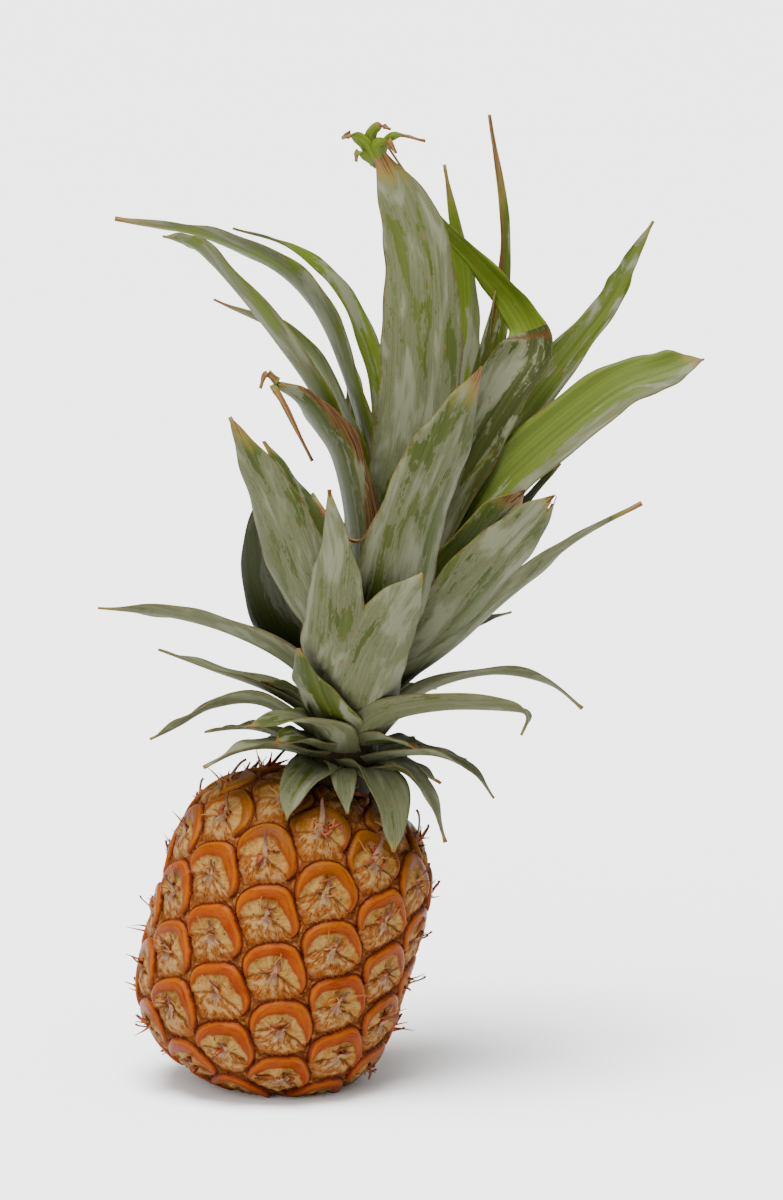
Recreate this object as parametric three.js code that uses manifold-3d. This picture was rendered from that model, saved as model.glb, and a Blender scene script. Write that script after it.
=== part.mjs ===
// A small whole pineapple with its crown of leaves, standing on the worn-flat low side of the fruit.
// Millimetres, +Z up. The origin is the middle of the flat resting spot.
import * as THREE from "three";
import { ConvexHull } from "three/addons/math/ConvexHull.js";
import { mergeVertices } from "three/addons/utils/BufferGeometryUtils.js";
import Module from "manifold-3d";

const wasm = await Module();
wasm.setup();

// Fruit: a barrel of fused fruitlets that leans to +X.
const FRUIT_CENTRE = new THREE.Vector3(-2.8, 0, 54.3);
const FRUIT_LEAN = THREE.MathUtils.degToRad(16);
const FRUIT_HALF_LENGTH = 57;
const FRUIT_RADIUS = 46.2;

// Eyes: one spiral of fruitlets, each taking the same share of the skin.
const EYE_AREA = 428;
const FIRST_EYE_AREA = 234;
const EYE_TURN = THREE.MathUtils.degToRad(137.72);
const FIRST_EYE_TURN = THREE.MathUtils.degToRad(75.2);
const EYE_ROW_SLANT = 0.051;
const EYE_NEIGHBOUR_REACH = 40;
const EYE_MAX_RADIUS = 14;
const GROOVE_DEPTH = 2.2;
const GROOVE_SIDES = 10;
const GROOVE_POINT_GAP = 3.8;
const RIM_SIDES = 10;
const RIM_INSET = 2.3;
const RIM_HEIGHT = 1.2;
const DISH_SIDES = 6;
const DISH_INSET = 5.4;
const DISH_HEIGHT = -0.4;
const BRACT_HEIGHT = 1.4;

// Spurs: the dry curled bract tip that stands at the middle of each eye.
const SPUR_HEIGHT = 5.5;
const SPUR_RISE = 3.4;
const SPUR_STRAY = 2.4;
const SPUR_SIDES = 3;
const SPUR_RADIUS = 1.3;
const SPUR_FOOT_HEIGHT = 1.2;
const SPUR_SEED = 11;

// Cut stalk under the fruit.
const STALK_RADIUS = 9;
const STALK_DEPTH = 7;
const STALK_SIDES = 20;

// Crown stem, with the small closed leaves of its heart.
const CROWN_FOOT = new THREE.Vector3(16.4, 0, 112);
const CROWN_LEAN = THREE.MathUtils.degToRad(14);
const STEM_SINK = 7;
const STEM_LENGTH = 80;
const STEM_FOOT_RADIUS = 13;
const STEM_TOP_RADIUS = 6.5;
const STEM_SIDES = 14;
const HEART_LEAVES = 5;
const HEART_LEAF_LENGTH = 34;
const HEART_LEAF_RADIUS = 3.4;
const HEART_LEAF_SINK = 12;
const HEART_LEAF_SPLAY = 0.16;

// Leaves: channelled blades, thick along the midrib and thin at the edges.
const LEAF_STEP_LENGTH = 23.5;
const LEAF_MIN_STEPS = 4;
const LEAF_MAX_STEPS = 8;
const LEAF_ACROSS = [-1, -0.5, 0, 0.5, 1];
const LEAF_ROOT_DEPTH = 3;
const LEAF_THICKNESS_FOOT = 2.6;
const LEAF_THICKNESS_TIP = 1.3;
const LEAF_EDGE_THICKNESS = 0.7;
const LEAF_TIP_WIDTH = 1.2;
const LEAF_NECK_SHARE = 0.92;
const LEAF_NECK_END = 0.22;
const LEAF_CHANNEL_FOOT = 0.42;
const LEAF_CHANNEL_TIP = 0.2;
const LEAF_WAVE_HEIGHT = 0.5;
const LEAF_WAVES = 2.5;
const USUAL_BLUNTNESS = 1.8;

// Leaves behind the crown, set by rule round its back.
const BACK_LEAVES = 13;
const BACK_TURN_START = 44;
const BACK_TURN_RANGE = 92;
const GOLDEN_SHARE = 0.618;

// Short broad collar leaves round the foot of the crown.
const COLLAR_LEAVES = 8;
const COLLAR_TURN_STEP = 137.5;
const COLLAR_LENGTH = 24;
const COLLAR_WIDTH = 19;
const COLLAR_CLIMB = 33;
const COLLAR_BLUNTNESS = 2.4;

// Play left between pieces that touch.
const GAP = 0.3;

const SIDE = new THREE.Vector3(0, 1, 0);
const FRUIT_AXIS = new THREE.Vector3(Math.sin(FRUIT_LEAN), 0, Math.cos(FRUIT_LEAN));
const FRUIT_ACROSS = new THREE.Vector3(Math.cos(FRUIT_LEAN), 0, -Math.sin(FRUIT_LEAN));
const CROWN_AXIS = new THREE.Vector3(Math.sin(CROWN_LEAN), 0, Math.cos(CROWN_LEAN));
const CROWN_ACROSS = new THREE.Vector3(Math.cos(CROWN_LEAN), 0, -Math.sin(CROWN_LEAN));

// Midribs run through these points (mm) after their root, which sits "seat" mm up the crown stem,
// turned "turn" degrees round it from +X. "roll" turns the blade about its midrib, from root to tip.
const LEAVES = [
  { name: "leaf_top_small", turn: 55, seat: 74, width: 9,
    midrib: [[51, 14, 214], [65, 20, 248], [72, 22, 280]] },
  { name: "leaf_top_back", turn: 82, seat: 72, width: 29, bluntness: 1.3,
    midrib: [[47, 16, 207], [58, 26, 244], [61, 34, 279], [54, 38, 323]] },
  { name: "leaf_top_folded", turn: 38, seat: 68, width: 30, bluntness: 1.15, roll: [15, 40, 40, 30, 20],
    midrib: [[49, 9, 201], [63, 12, 228], [76, 14, 249], [84, 17, 262], [79, 21, 275], [66, 24, 290],
      [50, 26, 307], [33, 24, 332]] },
  { name: "leaf_top_narrow", turn: 64, seat: 66, width: 11,
    midrib: [[56, 24, 205], [70, 36, 246], [76, 44, 295], [70, 46, 340]] },
  { name: "leaf_left_upper", turn: 120, seat: 66, width: 12,
    midrib: [[32, 22, 212], [30, 34, 247], [18, 40, 277], [0, 42, 293], [-21, 42, 300]] },
  { name: "leaf_top_tall", turn: -88, seat: 64, width: 29, bluntness: 6,
    midrib: [[39, -14, 204], [44, -18, 237], [46, -17, 270], [43, -12, 305], [29, -4, 335]] },
  { name: "leaf_right_wavy", turn: 42, seat: 60, width: 17, roll: [10, 20], bluntness: 2.2,
    midrib: [[54, 16, 196], [75, 26, 226], [96, 32, 253], [113, 35, 275], [120, 37, 289], [128, 38, 303]] },
  { name: "leaf_left_long", turn: 165, seat: 58, width: 20, bluntness: 3, roll: [0, 35, 40],
    midrib: [[29, 14, 206], [19, 22, 250], [3, 27, 281], [-27, 27, 298], [-62, 25, 305]] },
  { name: "leaf_right_bright", turn: 8, seat: 55, width: 21, bluntness: 4.5, roll: [30, 55, 50],
    midrib: [[58, 3, 193], [80, 5, 219], [112, 8, 245], [132, 10, 253], [145, 11, 257]] },
  { name: "leaf_left_hooked", turn: -176, seat: 54, width: 20, bluntness: 2.6, roll: [0, 40],
    midrib: [[25, -3, 202], [12, -7, 240], [-4, -9, 266], [-25, -9, 292], [-35, -8, 300], [-44, -7, 302]] },
  { name: "leaf_left_inner", turn: 172, seat: 49, width: 20, roll: [0, 40], bluntness: 3,
    midrib: [[26, 7, 198], [18, 10, 236], [2, 12, 263], [-27, 12, 278]] },
  { name: "leaf_left_torn", turn: -160, seat: 46, width: 25, bluntness: 3.5, roll: [0, 35],
    midrib: [[22, -12, 196], [18, -16, 223], [12, -19, 236], [5, -21, 246], [-5, -23, 253]] },
  { name: "leaf_right_torn", turn: -5, seat: 46, width: 24, bluntness: 5, roll: [-20, -45],
    midrib: [[56, -3, 181], [70, -4, 199], [82, -5, 213]] },
  { name: "leaf_front_right", turn: -62, seat: 40, width: 29, bluntness: 4.5,
    midrib: [[36, -34, 172], [43, -46, 206], [54, -51, 235], [66, -52, 262]] },
  { name: "leaf_right_dark", turn: 25, seat: 40, width: 18,
    midrib: [[60, 13, 175], [80, 22, 201], [95, 28, 218]] },
  { name: "leaf_right_broad", turn: -36, seat: 35, width: 26, bluntness: 4, roll: [-15, -40],
    midrib: [[51, -22, 166], [65, -30, 184], [80, -35, 202], [92, -37, 216]] },
  { name: "leaf_front_left", turn: -135, seat: 34, width: 35, bluntness: 2.6, roll: [10, 30],
    midrib: [[16, -29, 162], [4, -39, 187], [-7, -45, 217], [-20, -47, 244]] },
  { name: "leaf_left_dark", turn: -172, seat: 33, width: 30, bluntness: 5, roll: [60, 88],
    midrib: [[6, -9, 160], [-2, -13, 174], [-5, -16, 196], [-5, -16, 219]] },
  { name: "leaf_right_slender", turn: -14, seat: 30, width: 24, bluntness: 1.1, roll: [-10, -35],
    midrib: [[54, -10, 157], [76, -16, 178], [98, -20, 197], [122, -24, 211]] },
  { name: "leaf_front_short", turn: -108, seat: 26, width: 26, bluntness: 2.4,
    midrib: [[14, -38, 156], [15, -50, 178], [16, -54, 198], [14, -54, 220]] },
  { name: "leaf_left_flat", turn: -170, seat: 24, width: 25, roll: [0, 40],
    midrib: [[-3, -9, 154], [-23, -14, 165], [-44, -16, 171], [-67, -16, 173]] },
  { name: "leaf_front_low", turn: -78, seat: 19, width: 27, bluntness: 3.4,
    midrib: [[25, -36, 147], [31, -48, 165], [38, -52, 179], [46, -53, 191]] },
  { name: "leaf_right_arched", turn: -10, seat: 17, width: 17, roll: [0, -25],
    midrib: [[47, -6, 142], [70, -10, 149], [90, -13, 146], [102, -14, 137]] },
  { name: "leaf_low_left_back", turn: 172, seat: 15, width: 19,
    midrib: [[-7, 5, 140], [-27, 8, 147], [-47, 10, 154]] },
  { name: "leaf_low_front_olive", turn: -122, seat: 14, width: 25, bluntness: 2.4,
    midrib: [[11, -27, 138], [6, -37, 150], [3, -42, 163]] },
  { name: "leaf_hooked_right", turn: -46, seat: 12, width: 22, bluntness: 1.5, roll: [0, -30],
    midrib: [[33, -24, 135], [52, -34, 141], [73, -41, 142], [82, -43, 140], [80, -44, 133]] },
  { name: "leaf_low_left_bent", turn: -165, seat: 11, width: 20, roll: [0, 35],
    midrib: [[-10, -9, 138], [-27, -15, 138], [-39, -18, 132], [-49, -19, 127]] },
  { name: "leaf_low_front_left", turn: -112, seat: 8, width: 20,
    midrib: [[11, -25, 133], [-2, -34, 137], [-15, -39, 135]] },
  { name: "leaf_low_right_thin", turn: -26, seat: 6, width: 13,
    midrib: [[38, -15, 121], [52, -22, 122], [64, -27, 117], [71, -29, 108]] },
  { name: "leaf_low_left_short", turn: 160, seat: 6, width: 14,
    midrib: [[-10, 11, 125], [-20, 15, 125], [-31, 18, 123]] },
  { name: "leaf_low_left_front", turn: -148, seat: 5, width: 16, roll: [0, 20],
    midrib: [[-6, -17, 124], [-18, -25, 124], [-30, -30, 119]] },
  { name: "leaf_drop_left", turn: -128, seat: 2, width: 19, bluntness: 2.2,
    midrib: [[8, -21, 116], [2, -33, 111], [-1, -42, 103]] },
  { name: "leaf_drop_front", turn: -96, seat: 2, width: 13, bluntness: 1.6,
    midrib: [[18, -20, 116], [19, -30, 110], [20, -36, 104]] },
  { name: "leaf_drop_right", turn: -64, seat: 3, width: 18, bluntness: 3.4,
    midrib: [[29, -19, 115], [35, -31, 105], [36, -39, 91]] },
  { name: "leaf_drop_right_edge", turn: -38, seat: 1, width: 12,
    midrib: [[39, -18, 116], [49, -27, 107], [54, -32, 93]] },
];

// A random number from 0 to 1 for each call, the same on every run.
function seededRandom(seed) {
  let state = seed;
  return () => {
    state = (state * 16807) % 2147483647;
    return state / 2147483647;
  };
}

// The closed solid of a geometry.
function solidOf(geometry) {
  const bare = geometry.clone();
  bare.deleteAttribute("normal");
  bare.deleteAttribute("uv");
  const merged = mergeVertices(bare, 1e-4);
  const vertProperties = Float32Array.from(merged.attributes.position.array);
  const triVerts = Uint32Array.from(merged.index.array);
  return new wasm.Manifold(new wasm.Mesh({ numProp: 3, vertProperties, triVerts }));
}

// A geometry from a list of corner points and triangle corner numbers.
function geometryOf(points, triangles) {
  const geometry = new THREE.BufferGeometry();
  geometry.setAttribute("position", new THREE.Float32BufferAttribute(points.flatMap((p) => p.toArray()), 3));
  geometry.setIndex(triangles);
  return geometry;
}

// The biggest body of a solid that a cut may have left in several.
function biggestBody(solid) {
  return solid.decompose().reduce((best, body) => (body.volume() > best.volume() ? body : best));
}

// A node of the scene from a solid.
function meshOf(name, solid, material) {
  const mesh = solid.getMesh();
  const geometry = new THREE.BufferGeometry();
  geometry.setAttribute("position", new THREE.Float32BufferAttribute(mesh.vertProperties, 3));
  geometry.setIndex(Array.from(mesh.triVerts));
  geometry.computeVertexNormals();
  const node = new THREE.Mesh(geometry, material);
  node.name = name;
  return node;
}

// A round bar or cone from one point along a direction.
function barAlong(start, direction, length, footRadius, topRadius, sides) {
  const geometry = new THREE.CylinderGeometry(topRadius, footRadius, length, sides, 1);
  geometry.translate(0, length / 2, 0);
  geometry.applyQuaternion(new THREE.Quaternion().setFromUnitVectors(SIDE, direction.clone().normalize()));
  geometry.translate(start.x, start.y, start.z);
  return solidOf(geometry);
}

// Where a ray from the fruit's centre leaves the smooth barrel, with the skin's outward direction.
function skinAt(ray) {
  const along = ray.dot(FRUIT_AXIS);
  const radial = ray.clone().addScaledVector(FRUIT_AXIS, -along);
  const quartic = (along / FRUIT_HALF_LENGTH) ** 4;
  const square = radial.lengthSq() / FRUIT_RADIUS ** 2;
  const scaleSquared = 2 / (square + Math.sqrt(square * square + 4 * quartic));
  const scale = Math.sqrt(scaleSquared);
  const point = ray.clone().multiplyScalar(scale);
  const height = along * scale;
  const normal = radial
    .multiplyScalar((2 * scale) / FRUIT_RADIUS ** 2)
    .addScaledVector(FRUIT_AXIS, (4 * height ** 3) / FRUIT_HALF_LENGTH ** 4)
    .normalize();
  return { point, normal };
}

function barrelRadius(height) {
  return FRUIT_RADIUS * Math.sqrt(Math.max(0, 1 - (height / FRUIT_HALF_LENGTH) ** 4));
}

// The middles of the eyes: equal steps of skin area up the barrel, a fixed turn apart.
function eyeSites() {
  const steps = 4000;
  const stepHeight = (2 * FRUIT_HALF_LENGTH) / steps;
  const sites = [];
  let area = 0;
  let next = FIRST_EYE_AREA;
  for (let step = 0; step < steps; step += 1) {
    const height = -FRUIT_HALF_LENGTH + step * stepHeight;
    const lower = barrelRadius(height);
    const upper = barrelRadius(height + stepHeight);
    area += Math.PI * (lower + upper) * Math.hypot(stepHeight, upper - lower);
    while (area >= next) {
      const turn = FIRST_EYE_TURN + sites.length * EYE_TURN;
      const radius = barrelRadius(height);
      const limit = FRUIT_HALF_LENGTH - 0.01;
      const slanted = THREE.MathUtils.clamp(height + EYE_ROW_SLANT * radius * Math.cos(turn), -limit, limit);
      const ray = FRUIT_AXIS.clone()
        .multiplyScalar(slanted)
        .addScaledVector(FRUIT_ACROSS, barrelRadius(slanted) * Math.cos(turn))
        .addScaledVector(SIDE, barrelRadius(slanted) * Math.sin(turn));
      sites.push(ray);
      next += EYE_AREA;
    }
  }
  return sites.map((ray) => {
    const { point, normal } = skinAt(ray);
    const up = FRUIT_AXIS.clone().addScaledVector(normal, -FRUIT_AXIS.dot(normal)).normalize();
    const right = up.clone().cross(normal);
    return { point, normal, up, right };
  });
}

// How far an eye reaches in a direction across the skin, halfway to its neighbours.
function eyeReach(neighbours, angle) {
  let reach = EYE_MAX_RADIUS;
  for (const { distance, bearing } of neighbours) {
    const facing = Math.cos(angle - bearing);
    if (facing > 0.2) {
      reach = Math.min(reach, distance / 2 / facing);
    }
  }
  return reach;
}

function neighboursOf(eye, eyes) {
  return eyes
    .filter((other) => other !== eye && other.point.distanceTo(eye.point) < EYE_NEIGHBOUR_REACH)
    .map((other) => {
      const apart = other.point.clone().sub(eye.point);
      const distance = apart.length();
      const bearing = Math.atan2(apart.dot(eye.up), apart.dot(eye.right));
      return { distance, bearing };
    });
}

// Skin points of one ring of an eye, where reachAt gives its radius and heightAt its height.
function eyeRing(eye, sides, reachAt, heightAt) {
  const ring = [];
  for (let side = 0; side < sides; side += 1) {
    const angle = ((side + 0.5) / sides) * 2 * Math.PI;
    const reach = Math.max(SPUR_RADIUS, reachAt(angle));
    const ray = eye.point
      .clone()
      .addScaledVector(eye.right, reach * Math.cos(angle))
      .addScaledVector(eye.up, reach * Math.sin(angle));
    ring.push({ ray, height: heightAt(Math.sin(angle)), lean: new THREE.Vector3() });
  }
  return ring;
}

// The skin: groove, rim, dish, bract and spur of every eye, joined in one closed surface.
function fruitSkin(eyes, random) {
  const samples = [];
  const grooves = [];
  for (const eye of eyes) {
    const neighbours = neighboursOf(eye, eyes);
    const reachLess = (inset) => (angle) => eyeReach(neighbours, angle) - inset;
    const lean = eye.up
      .clone()
      .multiplyScalar(SPUR_RISE)
      .addScaledVector(eye.right, SPUR_STRAY * (random() - 0.5));
    samples.push({ ray: eye.point.clone(), height: SPUR_HEIGHT * (0.7 + 0.6 * random()), lean });
    samples.push(...eyeRing(eye, SPUR_SIDES, () => SPUR_RADIUS, () => SPUR_FOOT_HEIGHT));
    const dishHeight = (rise) => (rise > 0 ? DISH_HEIGHT : BRACT_HEIGHT);
    samples.push(...eyeRing(eye, DISH_SIDES, reachLess(DISH_INSET), dishHeight));
    samples.push(...eyeRing(eye, RIM_SIDES, reachLess(RIM_INSET), () => RIM_HEIGHT));
    for (const sample of eyeRing(eye, GROOVE_SIDES, reachLess(0), () => -GROOVE_DEPTH)) {
      const place = skinAt(sample.ray).point;
      if (grooves.every((other) => other.distanceTo(place) > GROOVE_POINT_GAP)) {
        grooves.push(place);
        samples.push(sample);
      }
    }
  }
  const directions = samples.map((sample) => sample.ray.clone().normalize());
  const numbers = new Map(directions.map((direction, number) => [direction, number]));
  const hull = new ConvexHull().setFromPoints(directions);
  const triangles = [];
  for (const face of hull.faces) {
    let edge = face.edge;
    for (let corner = 0; corner < 3; corner += 1) {
      triangles.push(numbers.get(edge.head().point));
      edge = edge.next;
    }
  }
  const points = samples.map(({ ray, height, lean }) => {
    const { point, normal } = skinAt(ray);
    return point.addScaledVector(normal, height).add(lean).add(FRUIT_CENTRE);
  });
  return solidOf(geometryOf(points, triangles));
}

// Everything under the resting plane.
function underside() {
  const depth = 60;
  const breadth = 400;
  const geometry = new THREE.BoxGeometry(breadth, breadth, depth);
  geometry.translate(0, 0, -depth / 2);
  return solidOf(geometry);
}

function crownPoint(climb, turnDegrees, radius) {
  const turn = THREE.MathUtils.degToRad(turnDegrees);
  return CROWN_FOOT.clone()
    .addScaledVector(CROWN_AXIS, climb)
    .addScaledVector(CROWN_ACROSS, radius * Math.cos(turn))
    .addScaledVector(SIDE, radius * Math.sin(turn));
}

function stemRadius(climb) {
  return THREE.MathUtils.lerp(STEM_FOOT_RADIUS, STEM_TOP_RADIUS, climb / STEM_LENGTH);
}

// The crown's stem, tapering up from its seat in the fruit; "grow" widens it all round.
function stemSolid(grow) {
  const profile = [
    new THREE.Vector2(0, -STEM_SINK - grow),
    new THREE.Vector2(STEM_FOOT_RADIUS + grow, -STEM_SINK - grow),
    new THREE.Vector2(STEM_FOOT_RADIUS + grow, 0),
    new THREE.Vector2(STEM_TOP_RADIUS + grow, STEM_LENGTH + grow),
    new THREE.Vector2(0, STEM_LENGTH + grow),
  ];
  const geometry = new THREE.LatheGeometry(profile, STEM_SIDES);
  geometry.applyQuaternion(new THREE.Quaternion().setFromUnitVectors(SIDE, CROWN_AXIS));
  geometry.translate(CROWN_FOOT.x, CROWN_FOOT.y, CROWN_FOOT.z);
  return solidOf(geometry);
}

// The closed heart leaves, fused to the top of the stem.
function heartSolid(grow) {
  let heart = null;
  for (let leaf = 0; leaf < HEART_LEAVES; leaf += 1) {
    const turn = (leaf * 360 * GOLDEN_SHARE) % 360;
    const start = crownPoint(STEM_LENGTH - HEART_LEAF_SINK, turn, 2);
    const direction = crownPoint(0, turn, HEART_LEAF_SPLAY).sub(CROWN_FOOT).add(CROWN_AXIS);
    const length = HEART_LEAF_LENGTH * (1 - 0.09 * leaf) + grow;
    const cone = barAlong(start, direction, length, HEART_LEAF_RADIUS + grow, 0.4 + grow, 6);
    heart = heart ? heart.add(cone) : cone;
  }
  return heart;
}

// Half the blade's width at a share of its length.
function bladeHalfWidth(leaf, share) {
  const neck = LEAF_NECK_SHARE + (1 - LEAF_NECK_SHARE) * THREE.MathUtils.smoothstep(share, 0, LEAF_NECK_END);
  const taper = 1 - share ** (leaf.bluntness ?? USUAL_BLUNTNESS);
  return Math.max(LEAF_TIP_WIDTH / 2, (leaf.width / 2) * neck * taper);
}

// The roll of a blade at a share of its length, between the listed values.
function rollAt(leaf, share) {
  const rolls = leaf.roll ?? [0];
  const place = share * (rolls.length - 1);
  const low = Math.min(Math.floor(place), rolls.length - 1);
  const high = Math.min(low + 1, rolls.length - 1);
  return THREE.MathUtils.degToRad(THREE.MathUtils.lerp(rolls[low], rolls[high], place - low));
}

// A leaf blade along its midrib: two skins that meet at the edges; "grow" thickens it all round.
function leafSolid(leaf, grow) {
  const root = crownPoint(leaf.seat, leaf.turn, stemRadius(leaf.seat) - LEAF_ROOT_DEPTH);
  const outward = crownPoint(0, leaf.turn, 1).sub(CROWN_FOOT);
  const stations = [root, ...leaf.midrib.map((place) => new THREE.Vector3(...place))];
  const midrib = new THREE.CatmullRomCurve3(stations, false, "catmullrom", 0.5);
  const wanted = Math.round(midrib.getLength() / LEAF_STEP_LENGTH);
  const steps = THREE.MathUtils.clamp(wanted, LEAF_MIN_STEPS, LEAF_MAX_STEPS);
  const points = [];
  const triangles = [];
  const ringSize = 2 * LEAF_ACROSS.length;
  for (let step = 0; step <= steps; step += 1) {
    const share = step / steps;
    const centre = midrib.getPoint(share);
    const tangent = midrib.getTangent(share);
    const face = CROWN_AXIS.clone()
      .multiplyScalar(outward.dot(tangent))
      .addScaledVector(outward, -CROWN_AXIS.dot(tangent));
    face.addScaledVector(tangent, -face.dot(tangent)).normalize();
    face.applyAxisAngle(tangent, rollAt(leaf, share));
    const across = tangent.clone().cross(face).normalize();
    const half = bladeHalfWidth(leaf, share);
    const channel = THREE.MathUtils.lerp(LEAF_CHANNEL_FOOT, LEAF_CHANNEL_TIP, share) * half;
    const middle = THREE.MathUtils.lerp(LEAF_THICKNESS_FOOT, LEAF_THICKNESS_TIP, share);
    const wave = LEAF_WAVE_HEIGHT * Math.sin(2 * Math.PI * LEAF_WAVES * share + leaf.seat);
    for (const skin of [1, -1]) {
      for (const v of LEAF_ACROSS) {
        const thickness = THREE.MathUtils.lerp(middle, LEAF_EDGE_THICKNESS, v * v);
        const rise = channel * v * v + wave * v * v * v + skin * (thickness / 2 + grow);
        points.push(
          centre
            .clone()
            .addScaledVector(across, v * (half + grow))
            .addScaledVector(face, rise),
        );
      }
    }
  }
  const last = LEAF_ACROSS.length - 1;
  const quad = (a, b, c, d) => triangles.push(a, b, c, a, c, d);
  for (let step = 0; step < steps; step += 1) {
    const here = step * ringSize;
    const there = here + ringSize;
    for (let strip = 0; strip < last; strip += 1) {
      const under = LEAF_ACROSS.length + strip;
      quad(here + strip, here + strip + 1, there + strip + 1, there + strip);
      triangles.push(here + under, there + under + 1, here + under + 1);
      triangles.push(here + under, there + under, there + under + 1);
    }
    quad(here + last, here + 2 * last + 1, there + 2 * last + 1, there + last);
    quad(here, there, there + LEAF_ACROSS.length, here + LEAF_ACROSS.length);
  }
  const end = steps * ringSize;
  for (let strip = 0; strip < last; strip += 1) {
    const under = LEAF_ACROSS.length + strip;
    quad(strip, under, under + 1, strip + 1);
    quad(end + strip, end + strip + 1, end + under + 1, end + under);
  }
  return solidOf(geometryOf(points, triangles));
}

// The leaves round the back of the crown: short and level low down, longer and steeper higher up.
function backLeaves() {
  const leaves = [];
  for (let number = 0; number < BACK_LEAVES; number += 1) {
    const share = number / (BACK_LEAVES - 1);
    const turn = BACK_TURN_START + BACK_TURN_RANGE * ((number * GOLDEN_SHARE) % 1);
    const seat = 4 + 50 * share;
    const length = 50 + 66 * share;
    const climb = THREE.MathUtils.degToRad(4 + 56 * share);
    const root = crownPoint(seat, turn, stemRadius(seat));
    const outward = crownPoint(0, turn, 1).sub(CROWN_FOOT);
    const midrib = [0.34, 0.67, 1].map((part) => {
      const out = length * part * Math.cos(climb);
      const up = length * part * Math.sin(climb) + 0.1 * length * Math.sin(Math.PI * part);
      return root.clone().addScaledVector(outward, out).addScaledVector(CROWN_AXIS, up).toArray();
    });
    const name = `leaf_back_${String(number + 1).padStart(2, "0")}`;
    leaves.push({ name, turn, seat, width: 13 + 9 * share, midrib });
  }
  return leaves;
}

// The short broad leaves that clasp the foot of the crown, set by rule all round.
function collarLeaves() {
  const leaves = [];
  for (let number = 0; number < COLLAR_LEAVES; number += 1) {
    const turn = number * COLLAR_TURN_STEP - 100;
    const seat = 21 - 2.6 * number;
    const climb = THREE.MathUtils.degToRad(COLLAR_CLIMB - 6 * number);
    const root = crownPoint(seat, turn, stemRadius(seat));
    const outward = crownPoint(0, turn, 1).sub(CROWN_FOOT);
    const midrib = [0.5, 1].map((part) => {
      const out = COLLAR_LENGTH * part * Math.cos(climb);
      const up = COLLAR_LENGTH * part * Math.sin(climb) + 2.5 * Math.sin(Math.PI * part);
      return root.clone().addScaledVector(outward, out).addScaledVector(CROWN_AXIS, up).toArray();
    });
    const name = `leaf_collar_${number + 1}`;
    leaves.push({ name, turn, seat, width: COLLAR_WIDTH, bluntness: COLLAR_BLUNTNESS, midrib });
  }
  return leaves;
}

const random = seededRandom(SPUR_SEED);
const eyes = eyeSites();
const ground = underside();

const rind = new THREE.MeshStandardMaterial({ color: 0xb06a1c, roughness: 0.45, metalness: 0 });
const stalkFibre = new THREE.MeshStandardMaterial({ color: 0xb59a6a, roughness: 0.85, metalness: 0 });
const stemFlesh = new THREE.MeshStandardMaterial({ color: 0x8d9150, roughness: 0.6, metalness: 0 });
const leafGreen = new THREE.MeshStandardMaterial({ color: 0x6f7a48, roughness: 0.6, metalness: 0 });

const stalkStart = FRUIT_CENTRE.clone().addScaledVector(FRUIT_AXIS, -FRUIT_HALF_LENGTH + STALK_DEPTH);
const stalkDirection = FRUIT_AXIS.clone().negate();
const stalkHoleStart = stalkStart.clone().addScaledVector(FRUIT_AXIS, GAP);

let fruit = fruitSkin(eyes, random)
  .subtract(ground)
  .subtract(barAlong(stalkHoleStart, stalkDirection, 40, STALK_RADIUS + GAP, STALK_RADIUS + GAP, STALK_SIDES))
  .subtract(barAlong(
    crownPoint(-STEM_SINK - GAP, 0, 0),
    CROWN_AXIS,
    40,
    STEM_FOOT_RADIUS + GAP,
    STEM_FOOT_RADIUS + GAP,
    STEM_SIDES,
  ));
fruit = biggestBody(fruit);

const stalk = barAlong(stalkStart, stalkDirection, STALK_DEPTH + 1, STALK_RADIUS, STALK_RADIUS, STALK_SIDES);
const stem = stemSolid(0).add(heartSolid(0));
const stemRoom = stemSolid(GAP).add(heartSolid(GAP));

const pineapple = new THREE.Group();
pineapple.name = "pineapple";
pineapple.add(meshOf("fruit", fruit, rind));
pineapple.add(meshOf("cut_stalk", biggestBody(stalk.subtract(ground)), stalkFibre));
pineapple.add(meshOf("crown_stem", biggestBody(stem), stemFlesh));

const placed = [];
for (const leaf of [...LEAVES, ...backLeaves(), ...collarLeaves()]) {
  let blade = leafSolid(leaf, 0).subtract(stemRoom);
  for (const room of placed) {
    blade = blade.subtract(room);
  }
  placed.push(leafSolid(leaf, GAP));
  pineapple.add(meshOf(leaf.name, biggestBody(blade), leafGreen));
}

export default pineapple;
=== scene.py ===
import math

import bpy
import numpy as np
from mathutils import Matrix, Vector


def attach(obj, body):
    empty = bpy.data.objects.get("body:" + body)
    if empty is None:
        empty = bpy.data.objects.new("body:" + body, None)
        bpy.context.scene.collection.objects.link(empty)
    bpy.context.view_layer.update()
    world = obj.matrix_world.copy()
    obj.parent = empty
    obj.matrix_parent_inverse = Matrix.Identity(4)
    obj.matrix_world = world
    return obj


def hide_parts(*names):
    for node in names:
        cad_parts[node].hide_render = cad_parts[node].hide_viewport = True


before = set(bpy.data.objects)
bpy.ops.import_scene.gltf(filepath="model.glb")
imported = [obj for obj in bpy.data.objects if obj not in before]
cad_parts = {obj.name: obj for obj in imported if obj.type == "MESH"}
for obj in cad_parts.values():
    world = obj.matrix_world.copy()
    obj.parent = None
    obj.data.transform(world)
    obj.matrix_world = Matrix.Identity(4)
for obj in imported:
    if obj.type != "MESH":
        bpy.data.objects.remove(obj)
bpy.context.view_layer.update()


# The stage: a plain pale floor that runs past the edge of every view, a broad soft light overhead
# with a weaker one from the left, and a camera that looks 9 degrees down at the standing fruit.

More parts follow.
